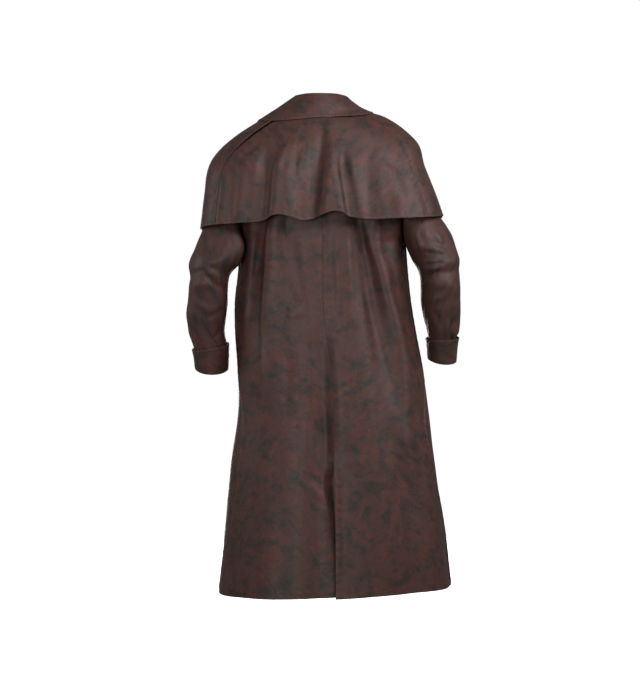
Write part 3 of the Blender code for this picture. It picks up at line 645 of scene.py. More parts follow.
def skirt_drops(angles):
    """Drops of the rows from the underarm to the hem, with one row at the vent's top."""
    above = np.linspace(UNDERARM_DROP, VENT_DROP, ROWS_ABOVE_VENT + 1)[:, None] + 0 * angles
    below = spread(*ROWS_BELOW_VENT)[1:, None]
    return np.vstack((above, VENT_DROP + below * (hem_drop(angles) - VENT_DROP)))


def seam_angle(side, drop):
    seams = SIDE_SEAM.at(drop)
    return seams.left if side == LEFT else seams.right


def back_panel(side):
    """One half of the back, from the centre seam to the side seam, top row first."""
    angles = side * SIDE_SEAM_ANGLE * spread(*BACK_COLUMNS)
    v = np.linspace(1, 0, YOKE_ROWS + 1)[:-1]
    top = yoke(side, BEHIND, angles, v)
    top[..., 1] += SHOULDER_GAP / 2 * v[:, None]
    keep = None
    if side == LEFT:
        lap = np.linspace(-VENT_LAP_ANGLE, 0, VENT_LAP_COLUMNS + 1)[:-1]
        angles = np.concatenate((lap, angles))
        top = np.concatenate((np.repeat(top[:, :1], len(lap), axis=1), top), axis=1)
        keep = np.ones((YOKE_ROWS + ROWS_ABOVE_VENT + ROWS_BELOW_VENT[0], len(angles) - 1), bool)
        keep[: YOKE_ROWS + ROWS_ABOVE_VENT, : len(lap)] = False
    drops = skirt_drops(angles)
    inset = 0.0
    if side == LEFT:
        under = smooth((VENT_DIP_ANGLE - angles) / VENT_DIP_ANGLE)
        inset = LAYER_STEP * under * smooth((drops - VENT_DROP + VENT_DIP_HEIGHT) / VENT_DIP_HEIGHT)
        closed = VENT_CLOSING * smooth((drops - VENT_CLOSING_DROP) / (BACK_LENGTH - VENT_CLOSING_DROP))
        hollow = VENT_HOLLOW * (1 - closed)
        inset = inset + hollow * under * smooth((drops - VENT_DROP) / VENT_HOLLOW_HEIGHT)
    else:
        step = VENT_HEM_STEP * bell(angles / VENT_HEM_STEP_ANGLE)
        drops = drops + step * smooth((drops - VENT_DROP) / (BACK_LENGTH - VENT_DROP))
    share = (seam_angle(side, drops) - SIDE_SEAM_PART) / SIDE_SEAM_ANGLE
    skirt = body(np.where(side * angles > 0, angles * share, angles), drops, inset)
    from_centre = side * (1 - np.abs(angles) / SIDE_SEAM_ANGLE)
    points = np.concatenate((top, skirt)) + place(from_centre, 1, 0) * SEAM_GAP / 2
    return points, keep


def front_panel(side):
    """One half of the front, from its lapping edge to the side seam and on under the back."""
    lap = np.linspace(180, 180 - FRONT_LAP_ANGLE, FRONT_LAP_COLUMNS + 1)
    rest = lap[-1] + (SIDE_SEAM_ANGLE - lap[-1]) * spread(*FRONT_COLUMNS)[1:]
    half = np.concatenate((lap, rest))
    v = np.linspace(1, 0, YOKE_ROWS + 1)[:-1]
    past_middle = yoke(-side, BEFORE, -side * half, v)[:, FRONT_LAP_COLUMNS:0:-1]
    top = np.concatenate((past_middle, yoke(side, BEFORE, side * half, v)), axis=1)
    angles = side * np.concatenate((360 - lap[:0:-1], half))
    inset = 0.0
    if side == RIGHT:
        under = smooth((np.abs(angles) - 180 + FRONT_LAP_ANGLE + FRONT_DIP_ANGLE) / FRONT_DIP_ANGLE)
        inset = LAYER_STEP * under
        top[..., 1] += FRONT_YOKE_STEP * under
    top[..., 1] -= SHOULDER_GAP / 2 * v[:, None]
    drops = skirt_drops(angles)
    beyond_lap = np.clip(lap[-1] - np.abs(angles), 0, None)
    below_arm = smooth((drops - UNDERARM_DROP - SIDE_LAP_FADE) / SIDE_LAP_FADE)
    dip = (SIDE_SEAM_ANGLE + SIDE_LAP_REACH - np.abs(angles)) / (SIDE_LAP_REACH - SIDE_LAP_ANGLE)
    inset = inset + SIDE_LAP_STEP * below_arm * smooth(dip)
    part = SIDE_SEAM_PART - SIDE_LAP_ANGLE * below_arm
    share = (lap[-1] - seam_angle(side, drops) - part) / (lap[-1] - SIDE_SEAM_ANGLE)
    skirt = body(side * (np.abs(angles) - beyond_lap * (share - 1)), drops, inset)
    return np.concatenate((top, skirt)) - np.array((0, 1, 0)) * SEAM_GAP / 2


def sleeve_table(side):
    underarm, tip = armhole_ends(side)
    first = (
        0.0,
        side * underarm[0] + SLEEVE_UNDERARM_SET_OUT,
        -underarm[2] - SLEEVE_UNDERARM_SET_UP,
        side * tip[0] + SLEEVE_SET_OUT,
        -tip[2] + SLEEVE_SET_IN,
        ARMHOLE_MIDDLE,
        ARMHOLE_HALF_DEPTH - SLEEVE_SET_IN,
        0.0,
        0.0,
        0.0,
    )
    return Table(SLEEVE_SIZES, first, *SLEEVE_SECTIONS[side])


def sleeve(side, around, station):
    """A point of a sleeve: around is 0 at the inner side, 1 outside, 2 inside again."""
    sizes = sleeve_table(side).at(station)
    v = np.where(around <= 1, around, 2 - around)
    behind = np.where(around <= 1, 1.0, -1.0)
    flat = 1 - sizes.round
    reach = flat * v * (2 - v) + sizes.round * (1 - np.cos(np.pi * v)) / 2
    swing = flat * ARMHOLE_PEAK * v * (2 - v) * (1 - v) + sizes.round * np.sin(np.pi * v)
    out = sizes.inner_out * (1 - reach) + sizes.outer_out * reach
    out = out - sizes.lean * np.where(behind > 0, np.sin(np.pi * v), 0.0)
    drop = sizes.inner_drop * (1 - reach) + sizes.outer_drop * reach + sizes.tip * behind * swing
    back = sizes.middle + behind * sizes.depth * swing
    height = 0.0
    for fold in named(SLEEVE_FOLD_COLUMNS, SLEEVE_FOLDS[side]):
        turn = turned(around * 180, fold.around)
        fall = (drop - fold.drop - turn * fold.slant) / fold.half_height
        height = height + fold.height * bell(turn / fold.width) * bell(fall)
    turn = np.pi * around
    return place(side * (out - height * np.cos(turn)), back + height * np.sin(turn), -drop)


def around_sleeve(side):
    """Places round a sleeve, in the order that turns its faces outwards."""
    around = SLEEVE_SEAM_SHARE + (2 - 2 * SLEEVE_SEAM_SHARE) * spread(*SLEEVE_COLUMNS)
    return around if side == LEFT else around[::-1]


def sleeve_panel(side):
    stations = sleeve_table(side).places[-1] * np.linspace(0, 1, SLEEVE_ROWS + 1)
    return sleeve(side, around_sleeve(side)[None, :], stations[:, None])


def unit(vectors):
    return vectors / np.maximum(np.linalg.norm(vectors, axis=-1, keepdims=True), TINY)


def outward(points):
    """Unit normals of a grid of points, by its columns and rows."""
    across = np.gradient(points, axis=1)
    down = np.gradient(points, axis=0)
    return unit(np.cross(across, down))


def cuff_panel(side):
    """A cuff turned back over the end of the sleeve, standing off at its upper edge."""
    table = sleeve_table(side)
    last = table.places[-1]
    before_drop, end_drop = table.at(table.places[-2:]).inner_drop
    cuff_stations = CUFF_HEIGHT[side] / (end_drop - before_drop)
    f = spread(*CUFF_ROWS)[:, None]
    points = sleeve(side, around_sleeve(side)[None, :], last - cuff_stations * (1 - f))
    move = WALL + CUFF_GAP + CUFF_STAND_OFF * (1 - f)
    points = points + outward(points) * move[..., None]
    points[..., 2] -= CUFF_OVERHANG * f
    return points


def cape_ring(angle, level):
    """A point of the cape's hanging form, with its flutes growing towards the hem."""
    sine, cosine = sine_cosine(angle)
    ring = CAPE.at(level)
    side_out = np.where(sine > 0, ring.left_out, ring.right_out)
    side_drop = np.where(sine > 0, ring.left_drop, ring.right_drop)
    end_out = np.where(cosine > 0, ring.back_out, ring.front_out)
    end_drop = np.where(cosine > 0, ring.back_drop, ring.front_drop)
    x, y, out_x, out_y = oval(angle, side_out, end_out, ring.square)
    drop = side_drop * sine**2 + end_drop * cosine**2
    out = 0.0
    for flute in named(CAPE_FLUTE_COLUMNS, CAPE_FLUTES):
        grown = smooth((level - flute.start) / (1 - flute.start))
        width = flute.width * (FLUTE_TOP_WIDTH + (1 - FLUTE_TOP_WIDTH) * grown)
        turn = turned(angle, flute.angle) / width
        out = out + flute.height * grown * crest(turn)
        drop = drop - flute.lift * grown * bell(turn)
    return place(x + out * out_x, y + out * out_y, -drop)


def cape(angle, level):
    """A point of the cape, whose upper edge lies on the neckline of the body."""
    sine, cosine = sine_cosine(angle)
    seat = neckline(angle) + place(CAPE_SEAT_OUT * sine, CAPE_SEAT_OUT * cosine, CAPE_SEAT_UP)
    near_neck = 1 - smooth(level / CAPE_SEAT_LEVEL)
    return cape_ring(angle, level) + (seat - cape_ring(angle, 0.0)) * near_neck[..., None]


def cape_panel(first_angle, last_angle, columns, side=MIDDLE):
    angles = first_angle + (last_angle - first_angle) * spread(*columns)[None, :]
    levels = spread(*CAPE_ROWS)[:, None]
    away = np.array((side * CAPE_SEAM_WAY[0], abs(side) * CAPE_SEAM_WAY[1], 0))
    return cape(angles, levels) + away * SEAM_GAP


def collar_panel():
    """Stand, roll and fall of the collar, from the neck seam out to the free edge."""
    angles = COLLAR_END_ANGLE * (2 * spread(*COLLAR_COLUMNS) - 1)
    sine, cosine = sine_cosine(angles)
    out = place(sine, cosine, 0 * angles)
    rise = np.array((0, 0, 1.0))
    base = neckline(angles) - COLLAR_INSET * out + COLLAR_SEAT * rise
    sizes = COLLAR.at(angles)
    stand = sizes.top[:, None] - base[:, 2:]
    roll_centre = base + (stand - COLLAR_ROLL_RADIUS) * rise + COLLAR_ROLL_RADIUS * out
    rows = [base + (stand - COLLAR_ROLL_RADIUS) * rise * k / STAND_ROWS for k in range(STAND_ROWS)]
    for turn in np.radians(np.linspace(180, COLLAR_ROLL_END, ROLL_ROWS + 1)):
        rows.append(roll_centre + COLLAR_ROLL_RADIUS * (np.cos(turn) * out + np.sin(turn) * rise))
    steps = np.array((-1.0, 0, 1.0))[:, None]
    under = cape(angles, sizes.edge + steps * COLLAR_LEVEL_STEP)
    across = cape(angles + steps * COLLAR_ANGLE_STEP, sizes.edge)
    facing = unit(np.cross(across[2] - across[0], under[2] - under[0]))
    edge = under[1] + facing * LAYER_STEP
    start = rows[-1]
    swell = sizes.swell[:, None] * facing
    for f in spread(*FALL_ROWS)[1:]:
        rows.append(start + (edge - start) * f + swell * np.sin(np.pi * f))
    return np.array(rows)


def creases(points, normals, table, facing):
    """Heights of the creases in a table, on the side of the cloth that faces that way."""
    x = points[..., 0]
    drop = -points[..., 2]
    height = 0.0
    for crease in named(CREASE_COLUMNS, table):
        run_x = crease.x_end - crease.x
        run_drop = crease.drop_end - crease.drop
        length = math.hypot(run_x, run_drop)
        f = ((x - crease.x) * run_x + (drop - crease.drop) * run_drop) / length**2
        off = ((x - crease.x) * run_drop - (drop - crease.drop) * run_x) / length
        bowed = np.clip(f, 0, 1)
        off = (off - crease.bow * 4 * bowed * (1 - bowed)) / crease.width
        shoulders = bell(off - CREASE_SHOULDER_OFF) + bell(off + CREASE_SHOULDER_OFF)
        fade = smooth(f / CREASE_FADE) * smooth((1 - f) / CREASE_FADE)
        height = height + crease.height * fade * (bell(off) - CREASE_SHOULDER * shoulders)
    return height * smooth(CREASE_WRAP + facing * normals[..., 1])


def swells(across, along, table, seed):
    """Soft uneven heights on slanted lattices of random numbers."""
    random = np.random.default_rng(seed)
    height = 0.0
    for slack in named(SLACK_COLUMNS, table):
        i = (across + slack.slant * along) / slack.across
        j = (along - slack.slant * across) / slack.along
        i = i - i.min()
        j = j - j.min()
        lattice = random.uniform(-1, 1, (int(i.max()) + 2, int(j.max()) + 2))
        column = np.floor(i).astype(int)
        line = np.floor(j).astype(int)
        f = smooth(i - column)
        g = smooth(j - line)
        near = lattice[column, line] * (1 - f) + lattice[column + 1, line] * f
        far = lattice[column, line + 1] * (1 - f) + lattice[column + 1, line + 1] * f
        height = height + slack.height * (near * (1 - g) + far * g)
    return height


def lengths(points, axis):
    """Lengths along the cloth from the first row or column of its grid."""
    steps = np.linalg.norm(np.diff(points, axis=axis), axis=-1)
    return np.cumsum(np.insert(steps, 0, 0.0, axis=axis), axis=axis)


def from_edges(points):
    """Distances along the cloth from each edge of its grid."""
    across = lengths(points, 1)
    along = lengths(points, 0)
    return {
        "first_column": across,
        "last_column": across[:, -1:] - across,
        "first_row": along,
        "last_row": along[-1:] - along,
    }


def edge_form(kind):
    return named(EDGE_COLUMNS, [EDGES[kind]])[0]


def sewn(points, edges, seed):
    """Heights of grooves, turnings and puckers along the sewn edges, how slack the cloth is away
    from them, and how worn they are, with a painted highlight along the side seams."""
    distances = from_edges(points)
    height = 0.0
    wear_and_seam_highlight = np.zeros(points.shape[:2])
    loose = 1.0
    for edge, kind in edges.items():
        form = edge_form(kind)
        away = distances[edge]
        beside = distances["first_row" if "column" in edge else "first_column"]
        loose = np.minimum(loose, smooth(away / TIGHT_WIDTH))
        full = 1 - FLATTENED * smooth(beside / form.full_length - 1)
        turning = 1 - smooth((away - form.turning) / form.pull_width)
        folded = form.rise * turning - form.groove * bell(away / form.groove_width)
        height = height + full * folded
        height = height - full * form.pull * bell((away - form.turning) / form.pull_width)
        phase = 2 * np.pi * beside / PUCKER_PITCH
        ripple = sum(size * np.sin(pitch * phase + shift * seed) for size, pitch, shift in PUCKER_WAVES)
        height = height + form.pucker * ripple * bell((away - form.turning) / PUCKER_REACH)
        # Hems and sewn edges get a lighter band of wear; the side seams get the same band as a painted
        # highlight of their raised edge
        if "seam" not in kind or kind == "side_seam":
            wear_and_seam_highlight = wear_and_seam_highlight + full * bell(away / EDGE_WEAR_AND_HIGHLIGHT_WIDTH)
    return height, loose, np.clip(wear_and_seam_highlight, 0, 1)


class Paint:
    """The nodes of one material or world, added by calls and by sums on their sockets."""

    def __init__(self, owner):
        owner.use_nodes = True
        self.owner = owner
        self.tree = owner.node_tree

    def node(self, kind, settings, sockets, out=0):
        """Adds a node, sets its settings and then its sockets, and gives one of its outputs."""
        node = self.tree.nodes.new(kind)
        for name, value in settings.items():
            setattr(node, name, value)
        for name, value in sockets.items():
            self.put(node.inputs[name], value)
        return Mark(self, node.outputs[out])

    def put(self, socket, value):
        if isinstance(value, Mark):
            self.tree.links.new(value.socket, socket)
        else:
            socket.default_value = value

    def finish(self, node="Principled BSDF", **sockets):
        """Sets the sockets of the node at the end, with _ for the spaces in their names."""
        for name, value in sockets.items():
            self.put(self.tree.nodes[node].inputs[name.replace("_", " ")], value)
        return self.owner

    def read(self, attribute, out):
        return self.node("ShaderNodeAttribute", {"attribute_name": attribute}, {}, out)

    def noise(self, where, scale, detail, roughness=0.55, distortion=0.0):
        sockets = {"Vector": where, "Scale": scale, "Detail": detail}
        sockets.update({"Roughness": roughness, "Distortion": distortion})
        return self.node("ShaderNodeTexNoise", {}, sockets, "Fac")

    def step(self, value, low, high):
        """A soft step from 0 to 1 as the value goes from low to high."""
        settings = {"interpolation_type": "SMOOTHSTEP"}
        return self.node("ShaderNodeMapRange", settings, {"Value": value, "From Min": low, "From Max": high})

    def mix(self, share, first, second):
        """A mix of two colours, by the numbers of the node's colour sockets."""
        return self.node("ShaderNodeMix", {"data_type": "RGBA"}, {0: share, 6: first, 7: second}, 2)

    def bump(self, height, distance, strength, normal=None):
        sockets = {"Height": height, "Distance": distance, "Strength": strength}
        if normal is not None:
            sockets["Normal"] = normal
        return self.node("ShaderNodeBump", {}, sockets, "Normal")


class Mark:
    """An output socket on which sums are written as on a number."""

    def __init__(self, paint, socket):
        self.paint = paint
        self.socket = socket

    def sum(self, operation, first, second):
        return self.paint.node("ShaderNodeMath", {"operation": operation}, {0: first, 1: second})

    def __add__(self, other):
        return self.sum("ADD", self, other)

    def __radd__(self, other):
        return self.sum("ADD", other, self)

    def __sub__(self, other):
        return self.sum("SUBTRACT", self, other)

    def __rsub__(self, other):
        return self.sum("SUBTRACT", other, self)

    def __mul__(self, other):
        return self.sum("MULTIPLY", self, other)

    def __rmul__(self, other):
        return self.sum("MULTIPLY", other, self)

    def __abs__(self):
        return self.sum("ABSOLUTE", self, 0.0)


BROWN = (0.0490, 0.0253, 0.0199, 1.0)
GREY_BROWN = (0.0265, 0.0214, 0.0184, 1.0)
DARK_BROWN = (0.0180, 0.0134, 0.0112, 1.0)
RED_BROWN = (0.120, 0.0268, 0.0187, 1.0)
# Lighter rubbed brown at the edges, also used as a painted highlight along the side seams
WEAR_AND_HIGHLIGHT_BROWN = (0.085, 0.052, 0.040, 1.0)
BACKING_BROWN = (0.030, 0.021, 0.017, 1.0)
BACKING_DARK = (0.016, 0.011, 0.009, 1.0)
THREAD_BROWN = (0.050, 0.030, 0.024, 1.0)
FLOOR_WHITE = (0.86, 0.86, 0.85, 1.0)
FLOOR_GREY = (0.80, 0.80, 0.79, 1.0)
WHITE = (1.0, 1.0, 1.0, 1.0)

# Noises: scale, detail, and for the cloth also roughness and distortion
CLOTH_NOISES = {
    "clouds": (14.0, 4.0, 0.60, 0.0),
    "patches": (27.0, 4.0, 0.55, 0.5),
    "veins": (44.0, 4.0, 0.58, 0.7),
    "specks": (240.0, 3.0, 0.60, 0.0),
    "pebbles": (120.0, 4.0, 0.55, 0.0),
    "dents": (46.0, 3.0, 0.55, 0.0),
}
FUZZ_NOISE = (140.0, 4.0)
TWIST_NOISE = (1500.0, 2.0)
FLOOR_NOISE = (0.8, 2.0)

# Where each colour begins and where it is full, as values of its noise
GREY_RANGE = (0.44, 0.60)
FLECK_RANGE = (0.50, 0.66)
RED_RANGE = (0.44, 0.60)
# The rubbed range also sets the painted highlight specks along the side seams
RUBBED_AND_HIGHLIT_RANGE = (0.42, 0.60)
VEIN_LEVEL = 0.46
VEIN_WIDTH = 0.14

# Relief and gloss: distance and strength of each bump
GRAIN_SCALE = 620.0
GRAIN_WIDTH = 0.22
GRAIN_BUMP = (0.00012, 0.5)
DENT_BUMP = (0.0006, 0.45)
KNIT_BUMP = (0.0002, 0.5)
TWIST_BUMP = (0.0001, 0.4)
KNIT_WAVES = (("X", 260.0), ("Y", 330.0))
KNIT_DISTORTION = 1.5
CLOTH_ROUGHNESS = 0.43
KNIT_ROUGHNESS = 0.9
THREAD_ROUGHNESS = 0.6
FLOOR_ROUGHNESS = 0.7
CLOTH_SPECULAR = 0.30
KNIT_SPECULAR = 0.2


def worn_leatherette():
    """Mottled dark grey-brown cloth with red-brown marbling, a satin sheen and a fine grain."""
    paint = Paint(bpy.data.materials.new("worn_leatherette"))
    cut = paint.read("cut", "Vector")
    wear_and_seam_highlight = paint.read("wear_and_seam_highlight", "Fac")
    clouds, patches, veins, specks, pebbles, dents = (paint.noise(cut, *row) for row in CLOTH_NOISES.values())
    grey = paint.step(patches * 0.7 + clouds * 0.3, *GREY_RANGE)
    flecks = paint.step(specks * 0.4 + patches * 0.6, *FLECK_RANGE) * 0.75
    red = paint.step(clouds * 0.5 + specks * 0.2 + veins * 0.3, *RED_RANGE)
    beside_vein = paint.step(abs(veins - VEIN_LEVEL), 0.0, VEIN_WIDTH)
    marbling = (1 - beside_vein) * (0.2 + red * 0.5) * (1 - grey * 0.4)
    ground = paint.mix(flecks, paint.mix(grey, BROWN, GREY_BROWN), DARK_BROWN)
    marbled = paint.mix(marbling, ground, RED_BROWN)
    # Rubbed specks at hems and sewn edges; along the side seams the same lighter brown is a painted highlight
    worn = paint.mix(wear_and_seam_highlight * paint.step(specks, *RUBBED_AND_HIGHLIT_RANGE) * 0.5, marbled, WEAR_AND_HIGHLIGHT_BROWN)
    grain = paint.node(
        "ShaderNodeTexVoronoi",
        {"feature": "DISTANCE_TO_EDGE"},
        {"Vector": cut, "Scale": GRAIN_SCALE},
        "Distance",
    )
    rough = CLOTH_ROUGHNESS + clouds * 0.08 + specks * 0.10 - marbling * 0.04
    fine = paint.bump(paint.step(grain, 0.0, GRAIN_WIDTH), *GRAIN_BUMP)
    soft = paint.bump(pebbles + dents * 2, *DENT_BUMP, fine)
    return paint.finish(Base_Color=worn, Roughness=rough, Normal=soft, Specular_IOR_Level=CLOTH_SPECULAR)


def knit_backing():
    """Matte dark brown knit on the inside of the cloth."""
    paint = Paint(bpy.data.materials.new("knit_backing"))
    cut = paint.read("cut", "Vector")
    waves = []
    for way, scale in KNIT_WAVES:
        sockets = {"Vector": cut, "Scale": scale, "Distortion": KNIT_DISTORTION}
        settings = {"wave_type": "BANDS", "bands_direction": way}
        waves.append(paint.node("ShaderNodeTexWave", settings, sockets, "Fac"))
    ribs, loops = waves
    fuzz = paint.noise(cut, *FUZZ_NOISE)
    colour = paint.mix(ribs * 0.5 + fuzz * 0.5, BACKING_DARK, BACKING_BROWN)
    normal = paint.bump(ribs + loops, *KNIT_BUMP)
    gloss = {"Roughness": KNIT_ROUGHNESS, "Specular_IOR_Level": KNIT_SPECULAR}
    return paint.finish(Base_Color=colour, Normal=normal, **gloss)


def sewing_thread():
    """Twisted thread, a little lighter than the cloth."""
    paint = Paint(bpy.data.materials.new("sewing_thread"))
    where = paint.node("ShaderNodeTexCoord", {}, {}, "Object")
    twist = paint.noise(where, *TWIST_NOISE)
    colour = paint.mix(twist, DARK_BROWN, THREAD_BROWN)
    return paint.finish(Base_Color=colour, Roughness=THREAD_ROUGHNESS, Normal=paint.bump(twist, *TWIST_BUMP))


def pale_floor():
    paint = Paint(bpy.data.materials.new("pale_floor"))
    where = paint.node("ShaderNodeTexCoord", {}, {}, "Object")
    tone = paint.noise(where, *FLOOR_NOISE)
    colour = paint.mix(tone * 0.1, FLOOR_WHITE, FLOOR_GREY)
    glow = {"Emission_Color": FLOOR_WHITE, "Emission_Strength": FLOOR_GLOW}
    return paint.finish(Base_Color=colour, Roughness=FLOOR_ROUGHNESS, **glow)


LEATHERETTE = worn_leatherette()
BACKING = knit_backing()
THREAD = sewing_thread()


def faces_of(rows, columns, keep):
    """Corners of the faces of a grid, row by row."""
    first = np.arange(rows * columns).reshape(rows, columns)
    corners = np.stack((first[:-1, :-1], first[:-1, 1:], first[1:, 1:], first[1:, :-1]), axis=-1)
    return corners.reshape(-1, 4) if keep is None else corners[keep]


def new_object(name, vertices, faces, materials):
    mesh = bpy.data.meshes.new(name)
    mesh.from_pydata(vertices.tolist(), [], faces)
    for material in materials:
        mesh.materials.append(material)
    mesh.shade_smooth()
    thing = bpy.data.objects.new(name, mesh)
    bpy.context.scene.collection.objects.link(thing)
    return thing


def read_along(values, far, places):
    """Values between the points of a line, at places along it."""
    return np.stack([np.interp(places, far, column) for column in values.T], axis=-1)


def stitch_line(points, normals, edge, distance):
    """Points and normals of a row of stitches, at a distance from an edge of the cloth."""
    away = from_edges(points)[edge]
    if "row" in edge:
        points, normals, away = (values.swapaxes(0, 1) for values in (points, normals, away))
    if "last" in edge:
        points, normals, away = (values[:, ::-1] for values in (points, normals, away))
    lines = list(zip(points, away)), list(zip(normals, away))
    return [np.array([read_along(values, far, distance) for values, far in line]) for line in lines]


def stitches(name, lines):
    """Rows of single stitches, each a short round of thread that dips in at both ends."""
    vertices = []
    faces = []
    turns = 2 * np.pi * np.arange(STITCH_SIDES) / STITCH_SIDES
    for line, facing in lines:
        far = lengths(line, 0)
        for middle in np.arange(STITCH_PITCH, far[-1] - STITCH_PITCH / 2, STITCH_PITCH):
            ends = read_along(line, far, middle + np.array((-0.5, 0.5)) * STITCH_LENGTH)
            up = unit(read_along(facing, far, middle))
            way = unit(ends[1] - ends[0])
            side = np.cross(up, way)
            centre = ends.mean(axis=0) + up * WALL / 2
            start = len(vertices)
            vertices.append(centre - way * STITCH_LENGTH / 2 - up * THREAD_RADIUS)
            for share, size in STITCH_RINGS:
                ring = np.outer(np.cos(turns), side) + np.outer(np.sin(turns), up)
                vertices.extend(centre + way * share * STITCH_LENGTH + ring * THREAD_RADIUS * size)
            vertices.append(centre + way * STITCH_LENGTH / 2 - up * THREAD_RADIUS)
            last = len(vertices) - 1
            for k in range(STITCH_SIDES):
                after = (k + 1) % STITCH_SIDES
                faces.append((start, start + 1 + after, start + 1 + k))
                for ring in range(len(STITCH_RINGS) - 1):
                    near = start + 1 + ring * STITCH_SIDES
                    next_ring = near + STITCH_SIDES
                    faces.append((near + k, near + after, next_ring + after, next_ring + k))
                top = last - STITCH_SIDES
                faces.append((last, top + k, top + after))
    thread = new_object(name, np.array(vertices), faces, [THREAD])
    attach(thread, "root")
    return thread


def thicken(piece):
    """Gives a sheet its wall, with the backing on the inside, and soft edges."""
    wall = piece.modifiers.new("wall", "SOLIDIFY")
    wall.thickness = WALL
    wall.offset = 0.0
    wall.use_even_offset = True
    wall.material_offset = 1
    soft = piece.modifiers.new("soft_edge", "BEVEL")
    soft.width = SOFT_EDGE
    soft.segments = SOFT_EDGE_STEPS
    soft.limit_method = "ANGLE"
    soft.angle_limit = math.radians(SOFT_EDGE_ANGLE)


# Kinds of pieces: first number of their random slack, sizes of the slack, and how the cloth is held
KINDS = {
    "back": (3, BODY_SLACK, "hung"),
    "front": (7, BODY_SLACK, "hung"),
    "sleeve": (11, SLEEVE_SLACK, "hung"),
    "cuff": (15, TRIM_SLACK, "folded"),
    "cape_back": (21, CAPE_SLACK, "draped"),
    "cape_front": (24, CAPE_SLACK, "draped"),
    "collar": (28, TRIM_SLACK, "folded"),
}

# How far apart the pieces lie in the noises
PIECE_SHIFT = 1.7

# The column of a half that lies nearer to the centre back, and then the other one
FROM_CENTRE = {LEFT: ("first_column", "last_column"), RIGHT: ("last_column", "first_column")}


def cloth(kind, side, points, edges, sewing=(), keep=None, back=(), front=()):
    """A piece of cloth on its grid of points, with its creases, slack, sewn edges and stitches."""
    node = kind + SIDE_WORDS[side]
    seed, slack, held = KINDS[kind]
    seed = seed + side
    normals = outward(points)
    across = lengths(points, 1)
    across = across - across[:, across.shape[1] // 2][:, None]
    along = lengths(points, 0)
    height = creases(points, normals, back, BEHIND) + creases(points, normals, front, BEFORE)
    at_edges, loose, wear_and_seam_highlight = sewn(points, edges, seed)
    height = height + swells(across, along, slack, seed) * loose + at_edges
    points = points + normals * height[..., None]
    rows, columns = points.shape[:2]
    corners = faces_of(rows, columns, keep)
    used = np.unique(corners)
    fresh = np.zeros(rows * columns, int)
    fresh[used] = np.arange(len(used))
    vertices = points.reshape(-1, 3)[used]
    piece = new_object(node + "_cloth", vertices, fresh[corners].tolist(), [LEATHERETTE, BACKING])
    cut = place(across, along, np.full_like(across, seed * PIECE_SHIFT)).reshape(-1, 3)[used]
    piece.data.attributes.new("cut", "FLOAT_VECTOR", "POINT").data.foreach_set("vector", cut.ravel())
    # Wear at hems and sewn edges, and a painted highlight along the side seams
    piece.data.attributes.new("wear_and_seam_highlight", "FLOAT", "POINT").data.foreach_set("value", wear_and_seam_highlight.ravel()[used])
    thicken(piece)
    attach(piece, "root")
    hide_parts(node)
    facing = outward(points)
    lines = [stitch_line(points, facing, edge, edge_form(edges[edge]).turning) for edge in sewing]
    extra = [stitches(node + "_stitches", lines)] if lines else []


def build_body():
    for side in (LEFT, RIGHT):
        panel, keep = back_panel(side)
        front = front_panel(side)
        near, far = FROM_CENTRE[side]
        if side == RIGHT:
            panel = panel[:, ::-1]
        else:
            front = front[:, ::-1]
        cloth(
            "back",
            side,
            panel,
            edges={near: "seam", far: "side_seam", "last_row": "hem"},
            sewing=("last_row",),
            keep=keep,
            back=BODY_BACK_CREASES + VENT_CREASES[side],
        )
        cloth(
            "front",
            side,
            front,
            edges={far: "sewn_edge", near: "side_seam", "last_row": "hem"},
            sewing=("last_row", far),
            front=BODY_FRONT_CREASES,
        )


def build_sleeves():
    for side in (LEFT, RIGHT):
        cloth(
            "sleeve",
            side,
            sleeve_panel(side),
            edges=dict.fromkeys(("first_column", "last_column", "first_row"), "set_in_seam"),
            back=SLEEVE_BACK_CREASES[side],
            front=SLEEVE_FRONT_CREASES[side],
        )
        cloth(
            "cuff",
            side,
            cuff_panel(side),
            edges={"first_column": "seam", "last_column": "seam", "first_row": "sewn_edge"},
            sewing=("first_row",),
        )


def build_cape():
    seam = CAPE_SEAM_ANGLE
    cloth(
        "cape_back",
        MIDDLE,
        cape_panel(-seam, seam, CAPE_BACK_COLUMNS),
        edges={"first_column": "flat_seam", "last_column": "lapped_under", "last_row": "sewn_edge"},
        sewing=("last_row",),
        back=CAPE_BACK_CREASES,
    )
    for side in (LEFT, RIGHT):
        ends = (seam, CAPE_FRONT_ANGLE) if side == LEFT else (-CAPE_FRONT_ANGLE, -seam)
        joined, free = FROM_CENTRE[side]
        lap = "lapped_over" if side == LEFT else "flat_seam"
        cloth(
            "cape_front",
            side,
            cape_panel(*ends, CAPE_FRONT_COLUMNS, side),
            edges={joined: lap, free: "sewn_edge", "last_row": "sewn_edge"},
            sewing=("last_row", free),
            back=CAPE_BACK_CREASES,
            front=CAPE_FRONT_CREASES,
        )
    free_edges = ("last_row", "first_column", "last_column")
    cloth(
        "collar",
        MIDDLE,
        collar_panel(),
        edges=dict.fromkeys(free_edges, "sewn_edge"),
        sewing=free_edges,
        back=COLLAR_CREASES,
    )


# The picture: its size, the pixel of the neck seam, the size of a pixel at the coat and the distance
PICTURE_WIDTH = 640
PICTURE_HEIGHT = 699
NECK_PIXEL = (321.0, 113.0)
PIXEL_SIZE = 0.00276
CAMERA_DISTANCE = 5.0
SENSOR = 36.0
FLOOR_DROP = 1.587
FLOOR_HALF = 30.0

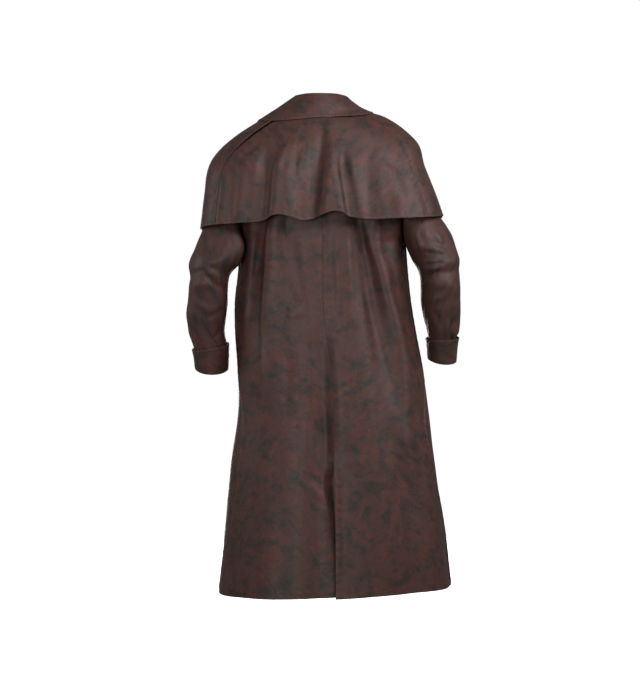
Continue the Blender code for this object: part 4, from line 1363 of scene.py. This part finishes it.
# Lights: name, place, width, watts
LIGHTS = (
    ("key", (-0.7, 1.7, 1.1), 0.8, 24.5),
    ("fill", (1.2, 3.8, -0.4), 1.2, 54.0),
    ("side_left", (2.2, 0.15, 0.1), 0.9, 11.0),
    ("side_right", (-1.8, 1.1, 0.5), 0.9, 29.0),
    ("front", (0.3, -4.0, -0.3), 2.4, 100.0),
)
LIGHT_AIM = (0.0, 0.0, 0.0)
ROOM_STRENGTH = 0.21
BACKDROP_STRENGTH = 1.0
FLOOR_GLOW = 1.0


def point_at(thing, target):
    way = Vector(target) - thing.location
    thing.rotation_euler = way.to_track_quat("-Z", "Y").to_euler()


def white_room():
    """A white backdrop that lights the coat only a little from all sides."""
    paint = Paint(bpy.data.worlds.new("white_room"))
    seen = paint.node("ShaderNodeLightPath", {}, {}, "Is Camera Ray")
    glows = {0: seen}
    for socket, strength in ((1, ROOM_STRENGTH), (2, BACKDROP_STRENGTH)):
        glows[socket] = paint.node("ShaderNodeBackground", {}, {"Color": WHITE, "Strength": strength})
    return paint.finish("World Output", Surface=paint.node("ShaderNodeMixShader", {}, glows))


def build_stage():
    scene = bpy.context.scene
    corners = np.array(((-1, -1, 0), (1, -1, 0), (1, 1, 0), (-1, 1, 0))) * FLOOR_HALF
    floor = new_object("floor", corners, [(0, 1, 2, 3)], [pale_floor()])
    floor.location.z = -FLOOR_DROP
    floor.visible_diffuse = False
    floor.visible_glossy = False
    for name, spot, width, watts in LIGHTS:
        data = bpy.data.lights.new(name, "AREA")
        data.size = width
        data.energy = watts
        lamp = bpy.data.objects.new(name, data)
        lamp.location = spot
        lamp.visible_camera = False
        point_at(lamp, LIGHT_AIM)
        scene.collection.objects.link(lamp)
    scene.world = white_room()
    scene.view_settings.view_transform = "Standard"


def build_camera():
    data = bpy.data.cameras.new("camera")
    data.sensor_width = SENSOR
    picture_tall = PICTURE_HEIGHT * PIXEL_SIZE
    data.lens = SENSOR * CAMERA_DISTANCE / picture_tall
    camera = bpy.data.objects.new("camera", data)
    across = (NECK_PIXEL[0] - PICTURE_WIDTH / 2) * PIXEL_SIZE
    up = (NECK_PIXEL[1] - PICTURE_HEIGHT / 2) * PIXEL_SIZE
    camera.location = (across, CAMERA_DISTANCE, up)
    point_at(camera, (across, 0.0, up))
    bpy.context.scene.collection.objects.link(camera)
    bpy.context.scene.camera = camera


build_body()
build_sleeves()
build_cape()
build_stage()
build_camera()
